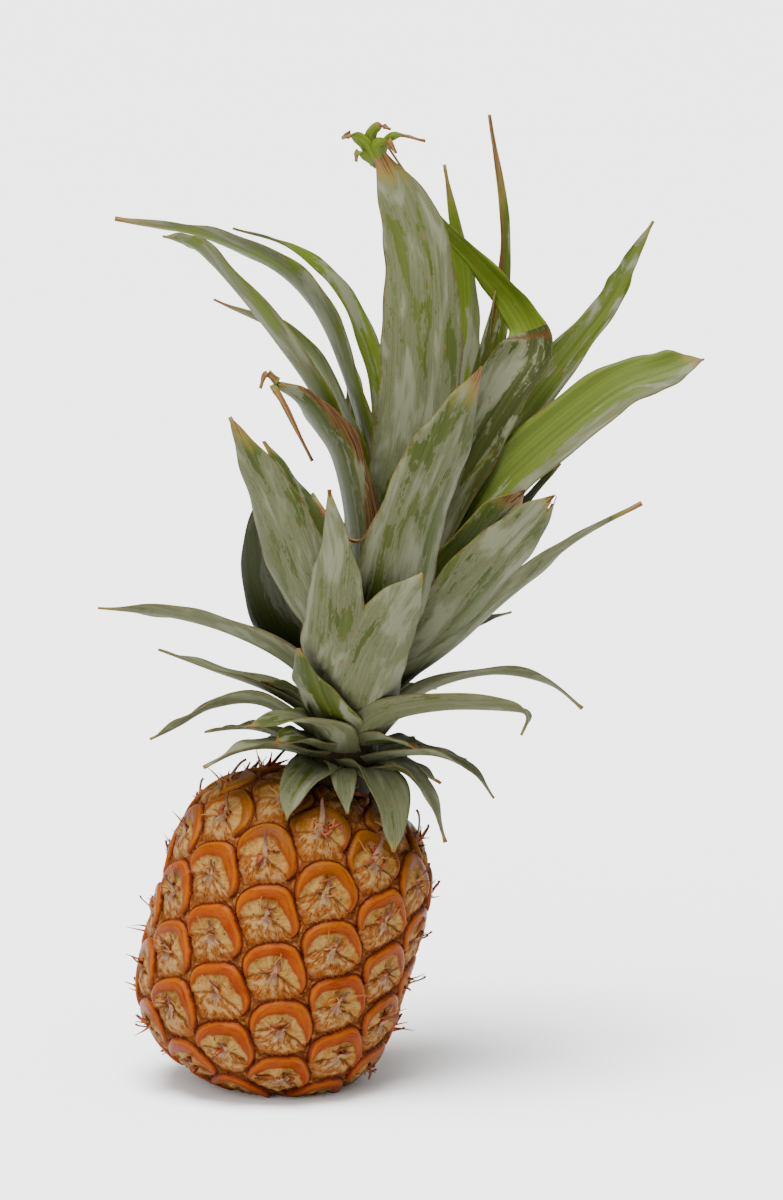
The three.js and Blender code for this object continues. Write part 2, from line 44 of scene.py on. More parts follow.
MM = 0.001
VIEW_HEIGHT = 0.421
VIEW_TARGET = Vector((0.0353, 0.0, 0.1733))
VIEW_DISTANCE = 2.2
VIEW_DROP = math.radians(9)
FLOOR_RADIUS = 14.0
REFLECTED_SHARE = 0.33


class Value:
    """A value in a shader tree. Sums, differences and products of such values make Math nodes."""

    def __init__(self, tree, socket):
        self.tree, self.socket = tree, socket

    def __add__(self, other):
        return calc("ADD", self, other)

    def __sub__(self, other):
        return calc("SUBTRACT", self, other)

    def __rsub__(self, other):
        return calc("SUBTRACT", other, self)

    def __mul__(self, other):
        return calc("MULTIPLY", self, other)

    def __gt__(self, other):
        return calc("GREATER_THAN", self, other)

    def __abs__(self):
        return calc("ABSOLUTE", self)


def set_input(made, name, value):
    """Links a value into an input of a node, or writes a plain one there."""
    value = getattr(value, "socket", value)
    if isinstance(value, bpy.types.NodeSocket):
        made.id_data.links.new(value, made.inputs[name])
    else:
        made.inputs[name].default_value = value


def shader_node(tree, kind, inputs=None, **options):
    """Adds a shader node, sets its options, and fills or links its inputs by name or number."""
    made = tree.nodes.new(kind)
    for option, value in options.items():
        setattr(made, option, value)
    for name, value in (inputs or {}).items():
        set_input(made, name, value)
    return made


def new_value(tree, kind, inputs=None, output=0, **options):
    """One output of a new shader node."""
    return Value(tree, shader_node(tree, kind, inputs, **options).outputs[output])


def calc(operation, *values):
    """The result of one Math node on values or numbers."""
    tree = next(value.tree for value in values if isinstance(value, Value))
    return new_value(tree, "ShaderNodeMath", dict(enumerate(values)), operation=operation)


def seen_colour(red, green, blue):
    """The surface colour that looks like this, from 0 to 255, beside a floor so lit that it is white."""
    shares = np.array([red, green, blue]) / 255
    linear = np.where(shares < 0.04045, shares / 12.92, ((shares + 0.055) / 1.055) ** 2.4)
    return (*(float(part) for part in linear * REFLECTED_SHARE), 1.0)


def new_material(name):
    """An empty node material with its shader and its output."""
    made = bpy.data.materials.new(name)
    made.use_nodes = True
    made.node_tree.nodes.clear()
    shader = shader_node(made.node_tree, "ShaderNodeBsdfPrincipled")
    shader_node(made.node_tree, "ShaderNodeOutputMaterial", {"Surface": shader.outputs[0]})
    return made, made.node_tree, shader


def set_surface(shader, colour, roughness, normal=None):
    """Links a material's colour, roughness and normal into its shader."""
    for name, value in (("Base Color", colour), ("Roughness", roughness), ("Normal", normal)):
        if value is not None:
            set_input(shader, name, value)


def noise(place, scale, detail=2.0, roughness=0.5, distortion=0.0):
    """The grey value of a noise texture at a place."""
    inputs = {"Vector": place, "Scale": scale, "Detail": detail, "Roughness": roughness}
    return new_value(place.tree, "ShaderNodeTexNoise", {**inputs, "Distortion": distortion})


def mixed(share, first, second):
    """A colour from first, at share 0, to second, at share 1. One given by three numbers is as seen."""
    inputs = {0: share, 6: first, 7: second}
    for number in (6, 7):
        if isinstance(inputs[number], tuple) and len(inputs[number]) == 3:
            inputs[number] = seen_colour(*inputs[number])
    return new_value(share.tree, "ShaderNodeMix", inputs, output=2, data_type="RGBA", clamp_factor=True)


def tinted(base, *layers):
    """A base under layers of a colour, a share and a strength, each laid over what is before it."""
    for colour, share, strength in layers:
        base = mixed(share * strength, base, colour)
    return base


def object_place(tree):
    """The place of a point in the part's own frame, in metres."""
    return new_value(tree, "ShaderNodeTexCoord", output="Object")


def add_sky_panel(name, way, width, strength):
    """A very large far-off soft panel in the direction "way", as wide as an angle in degrees."""
    data = bpy.data.lights.new(name, "SUN")
    data.angle = math.radians(width)
    data.energy = strength
    made = bpy.data.objects.new(name, data)
    made.rotation_euler = Vector(way).to_track_quat("Z", "Y").to_euler()
    bpy.context.scene.collection.objects.link(made)


floor_mesh = bpy.data.meshes.new("studio_floor")
floor_turns = np.linspace(0, 2 * np.pi, 64, endpoint=False)
floor_rim = np.stack([np.cos(floor_turns), np.sin(floor_turns), 0 * floor_turns], axis=1) * FLOOR_RADIUS
floor_mesh.from_pydata(floor_rim.tolist(), [], [list(range(64))])
floor_paint, floor_tree, floor_shader = new_material("pale_floor")
floor_tone = noise(object_place(floor_tree), 3.0)
set_surface(floor_shader, mixed(floor_tone, (0.93, 0.93, 0.93, 1.0), (0.95, 0.95, 0.95, 1.0)), 0.9)
floor_mesh.materials.append(floor_paint)
studio_floor = bpy.data.objects.new("studio_floor", floor_mesh)
bpy.context.scene.collection.objects.link(studio_floor)

sky = bpy.data.worlds.new("studio_world")
sky.use_nodes = True
sky_light = sky.node_tree.nodes["Background"]
sky_light.inputs["Color"].default_value = (1.0, 1.0, 1.0, 1.0)
sky_light.inputs["Strength"].default_value = 0.55
bpy.context.scene.world = sky
add_sky_panel("overhead_panel", (-0.1, -0.24, 0.96), 36, 10.5)
add_sky_panel("front_panel", (-0.4, -0.85, 0.42), 60, 3.0)

camera_data = bpy.data.cameras.new("camera")
camera_data.sensor_width = 36.0
camera_data.lens = camera_data.sensor_width * VIEW_DISTANCE / VIEW_HEIGHT
camera = bpy.data.objects.new("camera", camera_data)
camera.location = VIEW_TARGET + VIEW_DISTANCE * Vector((0.0, -math.cos(VIEW_DROP), math.sin(VIEW_DROP)))
camera.rotation_euler = (VIEW_TARGET - camera.location).to_track_quat("-Z", "Y").to_euler()
bpy.context.scene.collection.objects.link(camera)
bpy.context.scene.camera = camera


# The rind: some eighty fruitlets grown together into one leaning barrel with a flat resting spot.
# Each shows as an eye: a smooth waxy amber arch over its top and sides, pale sepals folded under
# the arch, and a papery bract fused over its lower half. The eyes spiral round and meet in grooves.

FRUIT_CENTRE = np.array([-2.8, 0.0, 54.3])
FRUIT_LEAN = math.radians(16)
FRUIT_HALF_LENGTH = 57.0
FRUIT_RADIUS = 46.2
FRUIT_AXIS = np.array([math.sin(FRUIT_LEAN), 0.0, math.cos(FRUIT_LEAN)])
FRUIT_ACROSS = np.array([math.cos(FRUIT_LEAN), 0.0, -math.sin(FRUIT_LEAN)])
SIDE = np.array([0.0, 1.0, 0.0])
EYE_AREA = 428.0
FIRST_EYE_AREA = 234.0
EYE_TURN = math.radians(137.72)
FIRST_EYE_TURN = math.radians(75.2)
EYE_ROW_SLANT = 0.051
CROWN_FOOT = np.array([16.4, 0.0, 112.0])
CROWN_LEAN = math.radians(14)
CROWN_AXIS = np.array([math.sin(CROWN_LEAN), 0.0, math.cos(CROWN_LEAN)])
CROWN_ACROSS = np.array([math.cos(CROWN_LEAN), 0.0, -math.sin(CROWN_LEAN)])
EYE_SWAY = 0.34
ARCH_ROUNDING = 5.4
ARCH_REACH = 10.4
NEIGHBOUR_REACH = 40
FAN_HEIGHT = 4.5
CROWN_SEAT_DEPTH = 7.5
CROWN_SEAT_RADII = (11.5, 15.0)
STALK_SEAT_DEPTH = 6.5
STALK_SEAT_RADII = (9.4, 10.6)
SKIN_SAMPLES = 4001
OUTLINE_SAMPLES = 6001
RIND_ROWS = 252
RIND_COLUMNS = 380
BASE_HEIGHT = 0.02
LOOSE_HEIGHT = 0.3


def unit(vectors):
    """Vectors along the last axis brought to length 1."""
    return vectors / np.maximum(np.linalg.norm(vectors, axis=-1, keepdims=True), 1e-12)


def eased(values, low, high):
    """A smooth step of an array from 0 at low to 1 at high: 3t^2 - 2t^3."""
    share = np.clip((values - low) / (high - low), 0, 1)
    return share * share * (3 - 2 * share)


def bell(values, middle, width):
    """A bell of height 1 about a middle: exp(-((x - middle) / width)^2)."""
    return np.exp(-(((values - middle) / width) ** 2))


def skin_at(rays):
    """Where rays from the middle of the fruit leave the barrel (h/H)^4 + (r/R)^2 = 1, and its normals."""
    along = rays @ FRUIT_AXIS
    radial = rays - along[:, None] * FRUIT_AXIS
    quartic = (along / FRUIT_HALF_LENGTH) ** 4
    square = (radial**2).sum(1) / FRUIT_RADIUS**2
    scale = np.sqrt(2 / (square + np.sqrt(square**2 + 4 * quartic)))
    height = along * scale
    normal = radial * (2 * scale / FRUIT_RADIUS**2)[:, None]
    normal = normal + (4 * height**3 / FRUIT_HALF_LENGTH**4)[:, None] * FRUIT_AXIS
    return rays * scale[:, None], unit(normal)


def barrel_radius(height):
    """The barrel's radius at heights along its axis."""
    return FRUIT_RADIUS * np.sqrt(np.clip(1 - (height / FRUIT_HALF_LENGTH) ** 4, 0, None))


def eye_sites():
    """The middles of the eyes: equal steps of skin area up the barrel, a fixed turn apart."""
    height = np.linspace(-FRUIT_HALF_LENGTH, FRUIT_HALF_LENGTH, SKIN_SAMPLES)
    radius = barrel_radius(height)
    belts = np.pi * (radius[1:] + radius[:-1]) * np.hypot(np.diff(height), np.diff(radius))
    area = np.concatenate([[0], np.cumsum(belts)])
    wanted = np.arange(FIRST_EYE_AREA, area[-1], EYE_AREA)
    level = np.interp(wanted, area, height)
    angle = FIRST_EYE_TURN + EYE_TURN * np.arange(len(wanted))
    limit = FRUIT_HALF_LENGTH - 0.01
    level = np.clip(level + EYE_ROW_SLANT * barrel_radius(level) * np.cos(angle), -limit, limit)
    rim = barrel_radius(level)
    rays = np.outer(level, FRUIT_AXIS) + np.outer(rim * np.cos(angle), FRUIT_ACROSS)
    return skin_at(rays + np.outer(rim * np.sin(angle), SIDE))


eye_point, eye_normal = eye_sites()
eye_up = unit(FRUIT_AXIS - (eye_normal @ FRUIT_AXIS)[:, None] * eye_normal)
eye_right = np.cross(eye_up, eye_normal)
eye_count = len(eye_point)
eye_level = eye_point @ FRUIT_AXIS / FRUIT_HALF_LENGTH
eye_draw = np.random.default_rng(7).random((eye_count, 8))


def eye_cells(points):
    """For points on the skin: the nearest eye, the depth inside its cell, a rounded depth and the place
    in it. Points are first swayed by slow waves. The depth to a neighbour is half the gap less the step
    taken to it; the rounded depth sums all reaches^ARCH_ROUNDING, so it is an arch with open corners."""
    x, y, z = points.T
    quick = (np.sin(y / 2.9 + z / 3.7), np.sin(z / 3.1 + x / 4.1 + 2), np.sin(x / 3.3 + y / 2.7 + 4))
    slow = (np.sin(z / 7.9), np.sin(x / 8.3 + 1), np.sin(y / 7.1 + 2))
    sway = np.stack(quick, axis=1) + np.stack(slow, axis=1)
    points = points + EYE_SWAY * sway
    own = np.linalg.norm(points[:, None] - eye_point[None], axis=2).argmin(1)
    total = np.zeros(len(points))
    depth = np.full(len(points), 99.0)
    for other in range(eye_count):
        apart = eye_point[other] - eye_point[own]
        square = (apart**2).sum(1)
        near = (square > 0) & (square < NEIGHBOUR_REACH**2)
        reach = 2 * ((points - eye_point[own]) * apart).sum(1) / np.maximum(square, 1e-9)
        reach = np.where(near, np.clip(reach, 0, None), 0)
        total += reach**ARCH_ROUNDING
        depth = np.minimum(depth, np.where(near, (1 - reach) * np.sqrt(square) / 2, 99))
    rounded = (1 - total ** (1 / ARCH_ROUNDING)) * ARCH_REACH
    local = points - eye_point[own]
    right = (local * eye_right[own]).sum(1)
    up = (local * eye_up[own]).sum(1)
    return own, depth, rounded, right, up


def bract_line(right, draw):
    """How high a bract reaches on its eye: a low tent, highest at the middle."""
    return -1.6 + 1.2 * draw - 0.2 * np.abs(right) - 0.02 * right**2


def arch_width(draw, up):
    """Width of the amber arch: a crescent, broad over the top of the eye and thin down its sides."""
    return (4.5 + 1.2 * draw) * (0.42 + 0.58 * eased(up, -3.5, 5.5))


def rind_relief(own, depth, rounded, right, up):
    """Height of the skin over the barrel: a rolled arch that stands over its neighbours, sunk sepals with
    two lobes, and a ribbed bract that dips under the arches below. A narrow groove cuts the arch's foot."""
    draw = eye_draw[own]
    above = up - bract_line(right, draw[:, 0])
    inside = eased(rounded, -0.15, 0.35)
    paper = 1 - eased(above, -0.3, 0.3) * inside
    width = arch_width(draw[:, 1], up)
    crest = np.sqrt(np.clip(1 - ((rounded - 0.1 - width / 2) / (width / 2 + 0.5)) ** 2, 0, 1))
    arch = (1 - paper) * (1.45 + 0.5 * draw[:, 2]) * crest * (1 - 0.3 * eased(-up, 0, 6))
    dish = (1 - paper) * eased(rounded, width - 0.9, width + 0.9)
    turned = right + (draw[:, 3] - 0.5) * 2.4
    lobes = 1.1 * bell(np.abs(turned), 2.7, 1.9) * bell(up, 1.6, 3.4)
    ridges = 0.04 * np.cos(np.arctan2(up + 4.0, turned) * 26)
    sepals = dish * (0.1 + lobes + ridges - 0.25 * bell(turned, 0.35 * up, 0.5))
    folds = 0.2 * np.cos(np.arctan2(right, FAN_HEIGHT - up) * 24 + 8 * draw[:, 4]) * eased(-above, 0.5, 3.0)
    foot = 1 - eased(depth, 0.0, 4.5)
    sheet = paper * (0.9 - 1.3 * foot * eased(-up, 0, 4) + folds)
    crease = 0.55 * bell(above, 0.2, 0.55) * eased(rounded, 0.6, 2.0)
    groove = 0.9 * bell(rounded, 0.0, 0.5) * eased(above, -1.2, 0.2)
    return arch + sepals + sheet - crease - groove


def rind_surface():
    """Rings evenly spaced along the barrel's outline h = H sqrt(cos b), r = R sin b, raised by the relief.
    A round seat is sunk at the top for the crown and one at the foot for the stalk; the base is flat."""
    beta = np.linspace(0, np.pi, OUTLINE_SAMPLES)
    level = FRUIT_HALF_LENGTH * np.sign(np.cos(beta)) * np.sqrt(np.abs(np.cos(beta)))
    radius = FRUIT_RADIUS * np.sin(beta)
    run = np.concatenate([[0], np.cumsum(np.hypot(np.diff(level), np.diff(radius)))])
    rows = np.linspace(0, run[-1], RIND_ROWS + 2)[1:-1]
    level, radius = np.interp(rows, run, level), np.interp(rows, run, radius)
    turn = np.linspace(0, 2 * np.pi, RIND_COLUMNS, endpoint=False)
    rays = level[:, None, None] * FRUIT_AXIS + (radius[:, None] * np.cos(turn))[..., None] * FRUIT_ACROSS
    rays = (rays + (radius[:, None] * np.sin(turn))[..., None] * SIDE).reshape(-1, 3)
    rays = np.vstack([rays, FRUIT_AXIS * FRUIT_HALF_LENGTH, -FRUIT_AXIS * FRUIT_HALF_LENGTH])
    point, normal = skin_at(rays)
    cells = eye_cells(point)
    own, depth, rounded, right, up = cells
    height = rind_relief(*cells)
    upper = point @ FRUIT_AXIS > 0
    top_gap = np.linalg.norm(np.cross(point + FRUIT_CENTRE - CROWN_FOOT, CROWN_AXIS), axis=1)
    height = height - np.where(upper, CROWN_SEAT_DEPTH * (1 - eased(top_gap, *CROWN_SEAT_RADII)), 0)
    foot_gap = np.linalg.norm(np.cross(point, FRUIT_AXIS), axis=1)
    height = height - np.where(upper, 0, STALK_SEAT_DEPTH * (1 - eased(foot_gap, *STALK_SEAT_RADII)))
    place = point + normal * height[:, None] + FRUIT_CENTRE
    place[:, 2] = np.maximum(place[:, 2], BASE_HEIGHT)
    grid = np.arange(RIND_ROWS * RIND_COLUMNS).reshape(RIND_ROWS, RIND_COLUMNS)
    after = np.roll(grid, -1, axis=1)
    faces = np.stack([grid[:-1], grid[1:], after[1:], after[:-1]], axis=-1).reshape(-1, 4).tolist()
    top, foot = grid.size, grid.size + 1
    faces += [(int(a), int(b), top) for a, b in zip(grid[0], after[0])]
    faces += [(int(b), int(a), foot) for a, b in zip(grid[-1], after[-1])]
    level = point @ FRUIT_AXIS / FRUIT_HALF_LENGTH
    above = up - bract_line(right, eye_draw[own, 0])
    return place * MM, faces, {
        "eye_place": np.stack([right, up, eye_draw[own, 4]], axis=1),
        "eye_depth": np.stack([depth, rounded, level], axis=1),
        "eye_shape": np.stack([above, arch_width(eye_draw[own, 1], up), eye_draw[own, 3]], axis=1),
    }


def new_piece(name, points, faces, material, attributes):
    """A smooth mesh at the origin that rides with the part and carries its arrays as attributes."""
    mesh = bpy.data.meshes.new(name)
    mesh.from_pydata(points.tolist(), [], faces)
    mesh.shade_smooth()
    for title, values in attributes.items():
        kind, field = ("FLOAT", "value") if values.ndim == 1 else ("FLOAT_VECTOR", "vector")
        mesh.attributes.new(title, kind, "POINT").data.foreach_set(field, values.astype(np.float32).ravel())
    mesh.materials.append(material)
    made = bpy.data.objects.new(name, mesh)
    bpy.context.scene.collection.objects.link(made)
    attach(made, "root")
    return made


def ramped(value, low, high):
    """A smooth step of a value from 0 at low to 1 at high; the other way round where low is above high."""
    inputs = {0: value, 1: min(low, high), 2: max(low, high), 3: float(low > high), 4: float(low < high)}
    return new_value(value.tree, "ShaderNodeMapRange", inputs, interpolation_type="SMOOTHSTEP")


def stretched(place, stretch):
    """A place scaled along its three axes."""
    return new_value(place.tree, "ShaderNodeMapping", {"Vector": place, "Scale": stretch})


def attribute(tree, name):
    """The three parts of a vector that the mesh carries at its points."""
    vector = new_value(
        tree, "ShaderNodeAttribute", output="Vector", attribute_name=name, attribute_type="GEOMETRY",
    )
    parts = shader_node(tree, "ShaderNodeSeparateXYZ", {0: vector}).outputs
    return [Value(tree, part) for part in parts]


def joined(first, second, third):
    """A vector of three values."""
    return new_value(first.tree, "ShaderNodeCombineXYZ", {0: first, 1: second, 2: third})


def bumped(height, distance, strength=1.0):
    """The normal of a height given in shares of a distance in metres."""
    inputs = {"Height": height, "Distance": distance, "Strength": strength}
    return new_value(height.tree, "ShaderNodeBump", inputs)


def fibre_group():
    """Dry fibres that run up a papery scale: streaks of three colours, and the height of the streaks."""
    tree = bpy.data.node_groups.new("papery_fibres", "ShaderNodeTree")
    for name, kind in (("Place", "Vector"), ("Light", "Color"), ("Middle", "Color"), ("Dark", "Color")):
        tree.interface.new_socket(name, in_out="INPUT", socket_type=f"NodeSocket{kind}")
    for name, kind in (("Color", "Color"), ("Height", "Float")):
        tree.interface.new_socket(name, in_out="OUTPUT", socket_type=f"NodeSocket{kind}")
    given = shader_node(tree, "NodeGroupInput").outputs
    place, light, middle, dark = (Value(tree, given[number]) for number in range(4))
    fine = noise(stretched(place, (2.6, 0.42, 1.0)), 1.0, 4.0, 0.65, 0.5)
    broad = noise(stretched(place, (0.55, 0.4, 1.0)), 1.0, 3.0)
    base = mixed(ramped(fine, 0.38, 0.56), dark, middle)
    base = mixed(ramped(broad, 0.46, 0.62), base, light)
    base = mixed(ramped(fine, 0.56, 0.7), base, light)
    shader_node(tree, "NodeGroupOutput", {"Color": base, "Height": fine})
    return tree


papery_fibres = fibre_group()


def fan_of_fibres(right, up, tone, *colours):
    """The colour and the height of fibres that fan out from a point FAN_HEIGHT up the eye."""
    fan = calc("ARCTAN2", right, FAN_HEIGHT - up)
    inputs = {"Place": joined(fan * 9.0, up, tone * 40.0)}
    for name, colour in zip(("Light", "Middle", "Dark"), colours):
        inputs[name] = seen_colour(*colour)
    made = shader_node(right.tree, "ShaderNodeGroup", inputs, node_tree=papery_fibres)
    return Value(right.tree, made.outputs["Color"]), Value(right.tree, made.outputs["Height"])


def rind_material():
    """Waxy amber arches with a painted highlight along their outer lips, pale mottled sepals, papery
    bracts, dark red-brown grooves, and creases lined by a red bract edge and by painted shade.
    """
    made, tree, shader = new_material("pineapple_rind")
    right, up, tone = attribute(tree, "eye_place")
    depth, rounded, level = attribute(tree, "eye_depth")
    above, arch_end, skew = attribute(tree, "eye_shape")
    place = object_place(tree)
    blotch = noise(place, 150.0, 3.0)
    fine = noise(place, 1100.0, 3.0, 0.6)
    stray = noise(place, 420.0, 3.0, 0.6) - 0.5
    depth = stray * 0.7 + depth
    edge = stray * 0.9 + rounded
    above = stray * 2.0 + above
    bract = 1.0 - ramped(above, -0.25, 0.25) * ramped(edge, -0.1, 0.3)
    inner = ramped(stray * 1.4 + edge - arch_end, -0.8, 0.6)

    amber = mixed(ramped(blotch, 0.35, 0.68), (184, 82, 0), (162, 58, 0))
    grain = noise(joined(edge * 1.6, right * 0.22, tone * 60.0), 1.0, 4.0, 0.65, 0.6)
    amber = tinted(
        amber,
        ((180, 92, 0), tone, 0.4),
        ((130, 88, 4), ramped(level, 0.3, 0.95), 0.75),
        ((160, 44, 0), ramped(level, -0.2, -1.0), 0.5),
        # Painted highlight: a lighter orange band along the outer lip of every arch.
        ((214, 128, 20), ramped(edge, 0.5, 1.0) * ramped(edge, 2.0, 1.2), 0.35),
        ((118, 32, 0), ramped(grain, 0.52, 0.66), 0.6),
        ((198, 104, 8), ramped(grain, 0.42, 0.3), 0.5),
        ((134, 44, 0), ramped(edge - arch_end, -2.2, -0.3), 0.55),
    )

    rays = calc("ARCTAN2", up + 4.0, right)
    streak = noise(joined(rays * 7.0, up * 0.25, tone * 30.0), 1.0, 4.0, 0.65)
    pale = mixed(ramped(streak, 0.4, 0.6), (190, 130, 50), (208, 162, 88))
    pale = mixed(ramped(fine, 0.5, 0.68), pale, (206, 170, 110))
    pale = mixed(ramped(blotch, 0.52, 0.75), pale, (178, 104, 22))
    slot = stray * 1.2 + abs((skew - 0.5) * 2.4 + right - up * 0.35)
    slot = ramped(slot, 0.75, 0.25) * ramped(up, 5.5, 3.5)
    pits = ramped(noise(place, 620.0, 1.0), 0.68, 0.74)
    pale = tinted(pale, ((104, 58, 20), slot, 0.22), ((84, 44, 16), pits, 0.8))

    fibres, fibre_height = fan_of_fibres(right, up, tone, (222, 172, 106), (196, 126, 52), (142, 64, 14))
    under_tip = ramped(abs(right), 3.4, 0.6) * ramped(above, -5.5, -1.2)
    warm = mixed(ramped(blotch, 0.4, 0.6), (178, 84, 2), (154, 58, 4))
    paper = tinted(
        fibres, ((112, 70, 38), under_tip, 0.4), (warm, ramped(stray * 4.0 + edge, 2.6, 0.4), 0.6),
    )

    base = mixed(bract, mixed(inner, amber, pale), paper)
    crease = ramped(abs(above - 0.25), 0.8, 0.2)
    groove = ramped(abs(edge - 0.05), 0.6, 0.1)
    base = tinted(
        base,
        ((104, 66, 16), ramped(level, 0.5, 1.0), 0.5),
        # The crease line where the bract meets the sepals: its own red edge, darkened further by painted
        # shade.
        ((126, 30, 0), crease * ramped(edge, 0.4, 1.6), 0.55),
        ((130, 56, 14), ramped(depth, 1.0, 0.1) * ramped(above, 0.0, -2.0), 0.35),
        ((100, 28, 2), groove * ramped(above, -1.6, -0.2), 0.9),
    )
    rough = calc("MAXIMUM", bract, inner) * 0.32 + fine * 0.2 + 0.24
    relief = fibre_height * bract * 2.2 + fine * 0.5 + grain * 0.7 + streak * inner * 0.5
    set_surface(shader, base, rough, bumped(relief, 0.0005, 0.9))
    shader.inputs["Specular IOR Level"].default_value = 0.05
    return made


rind_points, rind_faces, rind_attributes = rind_surface()
rind = new_piece("fruit_rind", rind_points, rind_faces, rind_material(), rind_attributes)
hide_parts("fruit")


# Bract scales: a dry papery fan on the lower half of each eye, part of the fruitlet's own leaf. Its
# foot lies flat and its long thin point comes free at the eye's middle and curls away, brown and brittle.

SCALE_STEPS = 17
SCALE_COLUMNS = 7
SCALE_FOOT = -7.6
SCALE_LOWEST_LEVEL = -0.9
SCALE_LOWEST_HEIGHT = 5


def tube_faces(rings, sides, first=0):
    """Quads of a closed tube of rings. Quads across close each end, between sides counted both ways."""
    grid = first + np.arange(rings * sides).reshape(rings, sides)
    after = np.roll(grid, -1, axis=1)
    faces = np.stack([grid[:-1], after[:-1], after[1:], grid[1:]], axis=-1).reshape(-1, 4).tolist()
    for end, way in ((grid[0], -1), (grid[-1], 1)):
        for side in range(sides // 2 - 1):
            faces.append([int(end[n]) for n in (side, side + 1, -side - 2, -side - 1)][::way])
    return faces


def bract_scales():
    """Closed thin scales over u from foot to point and v across: place = skin + normal * lift(u, v), the
    half width a narrow tent, the lift a slow rise with a curl at the free point."""
    points, faces, looks = [], [], []
    share = np.linspace(0, 1, SCALE_STEPS)[:, None]
    across = np.linspace(-1, 1, SCALE_COLUMNS)[None]
    count = 0
    for eye in range(eye_count):
        low = (eye_point[eye] + FRUIT_CENTRE)[2] < SCALE_LOWEST_HEIGHT
        if low or eye_level[eye] < SCALE_LOWEST_LEVEL:
            continue
        draw = eye_draw[eye]
        upper = float(eased(eye_level[eye], 0.35, 0.95))
        tip = 2.4 + 3.4 * draw[5] + 5.0 * upper
        up = SCALE_FOOT + (tip - SCALE_FOOT) * share + 0 * across
        levels = [-8, -5.6, -2.6, -1.0, tip - 1, tip]
        widths = [4.2, 6.6, 2.6 + upper, 1.0 + 0.8 * upper, 0.4, 0.12]
        half = np.interp(up[:, :1], levels, widths)
        bend = (draw[6] - 0.5) * 5.0
        right = half * across + bend * eased(share, 0.45, 1.0) ** 2
        free = eased(up, -1.5, tip)
        lift = 0.75 - 0.8 * (1 - eased(share, 0.0, 0.2)) + 0.5 * (1 - across**2) * eased(share, 0.1, 0.5)
        lift = lift + (2.0 + 3.4 * draw[7] + 2.5 * upper) * free**1.4 - 0.25 * np.abs(across) * (1 - free)
        lift = lift + 0.12 * np.sin(11 * across + 5 * share + 20 * draw[5])
        rays = eye_point[eye] + right[..., None] * eye_right[eye] + up[..., None] * eye_up[eye]
        skin, normal = skin_at(rays.reshape(-1, 3))
        skin, normal = skin.reshape(*up.shape, 3), normal.reshape(*up.shape, 3)
        outer = skin + normal * lift[..., None] + FRUIT_CENTRE
        inner = outer - normal * (0.5 - 0.25 * eased(share, 0.5, 1.0))[..., None]
        faces += tube_faces(SCALE_STEPS, 2 * SCALE_COLUMNS, count)
        points.append(np.concatenate([outer, inner[:, ::-1]], axis=1).reshape(-1, 3))
        count += 2 * SCALE_COLUMNS * SCALE_STEPS
        look = np.stack(
            [right, up, 0 * up + draw[4], free, 0 * up + np.abs(across), 0 * up + eye_level[eye]], axis=-1,
        )
        looks.append(np.concatenate([look, look[:, ::-1]], axis=1).reshape(-1, 6))
    points, looks = np.vstack(points), np.vstack(looks)
    points[:, 2] = np.maximum(points[:, 2], LOOSE_HEIGHT)
    return points * MM, faces, {"scale_place": looks[:, :3], "scale_look": looks[:, 3:]}


def bract_material():
    """Dry fibrous paper, tan with grey-brown streaks, dark below the free point, pale then brown on it."""
    made, tree, shader = new_material("dry_bract")
    right, up, tone = attribute(tree, "scale_place")
    free, side, level = attribute(tree, "scale_look")
    fibres, fibre_height = fan_of_fibres(right, up, tone, (224, 174, 112), (198, 130, 60), (146, 70, 22))
    fixed = ramped(up, -5.5, -2.5) * ramped(free, 0.12, 0.02)
    base = tinted(
        fibres,
        ((96, 60, 36), ramped(side, 0.75, 0.1) * fixed, 0.5),
        ((222, 160, 110), ramped(free, 0.03, 0.2), 0.85),
        ((136, 54, 22), ramped(free, 0.35, 0.8), 1.0),
        ((110, 84, 46), ramped(level, 0.5, 0.95), 0.5),
    )
    set_surface(shader, base, fibre_height * 0.3 + 0.55, bumped(fibre_height, 0.0007, 0.9))
    return made


scale_points, scale_faces, scale_attributes = bract_scales()
new_piece("fruit_bract_scales", scale_points, scale_faces, bract_material(), scale_attributes)


# Spines and dry hairs: what is left of each eye's flower and its bract's point. Stiff, thin, red-brown
# and curled, they stand out all round the fruit, more of them towards the crown.

HAIR_STEPS = 8
HAIR_SIDES = 4
HAIR_LOWEST_HEIGHT = 7
HAIR_HIGHEST_LEVEL = 0.97


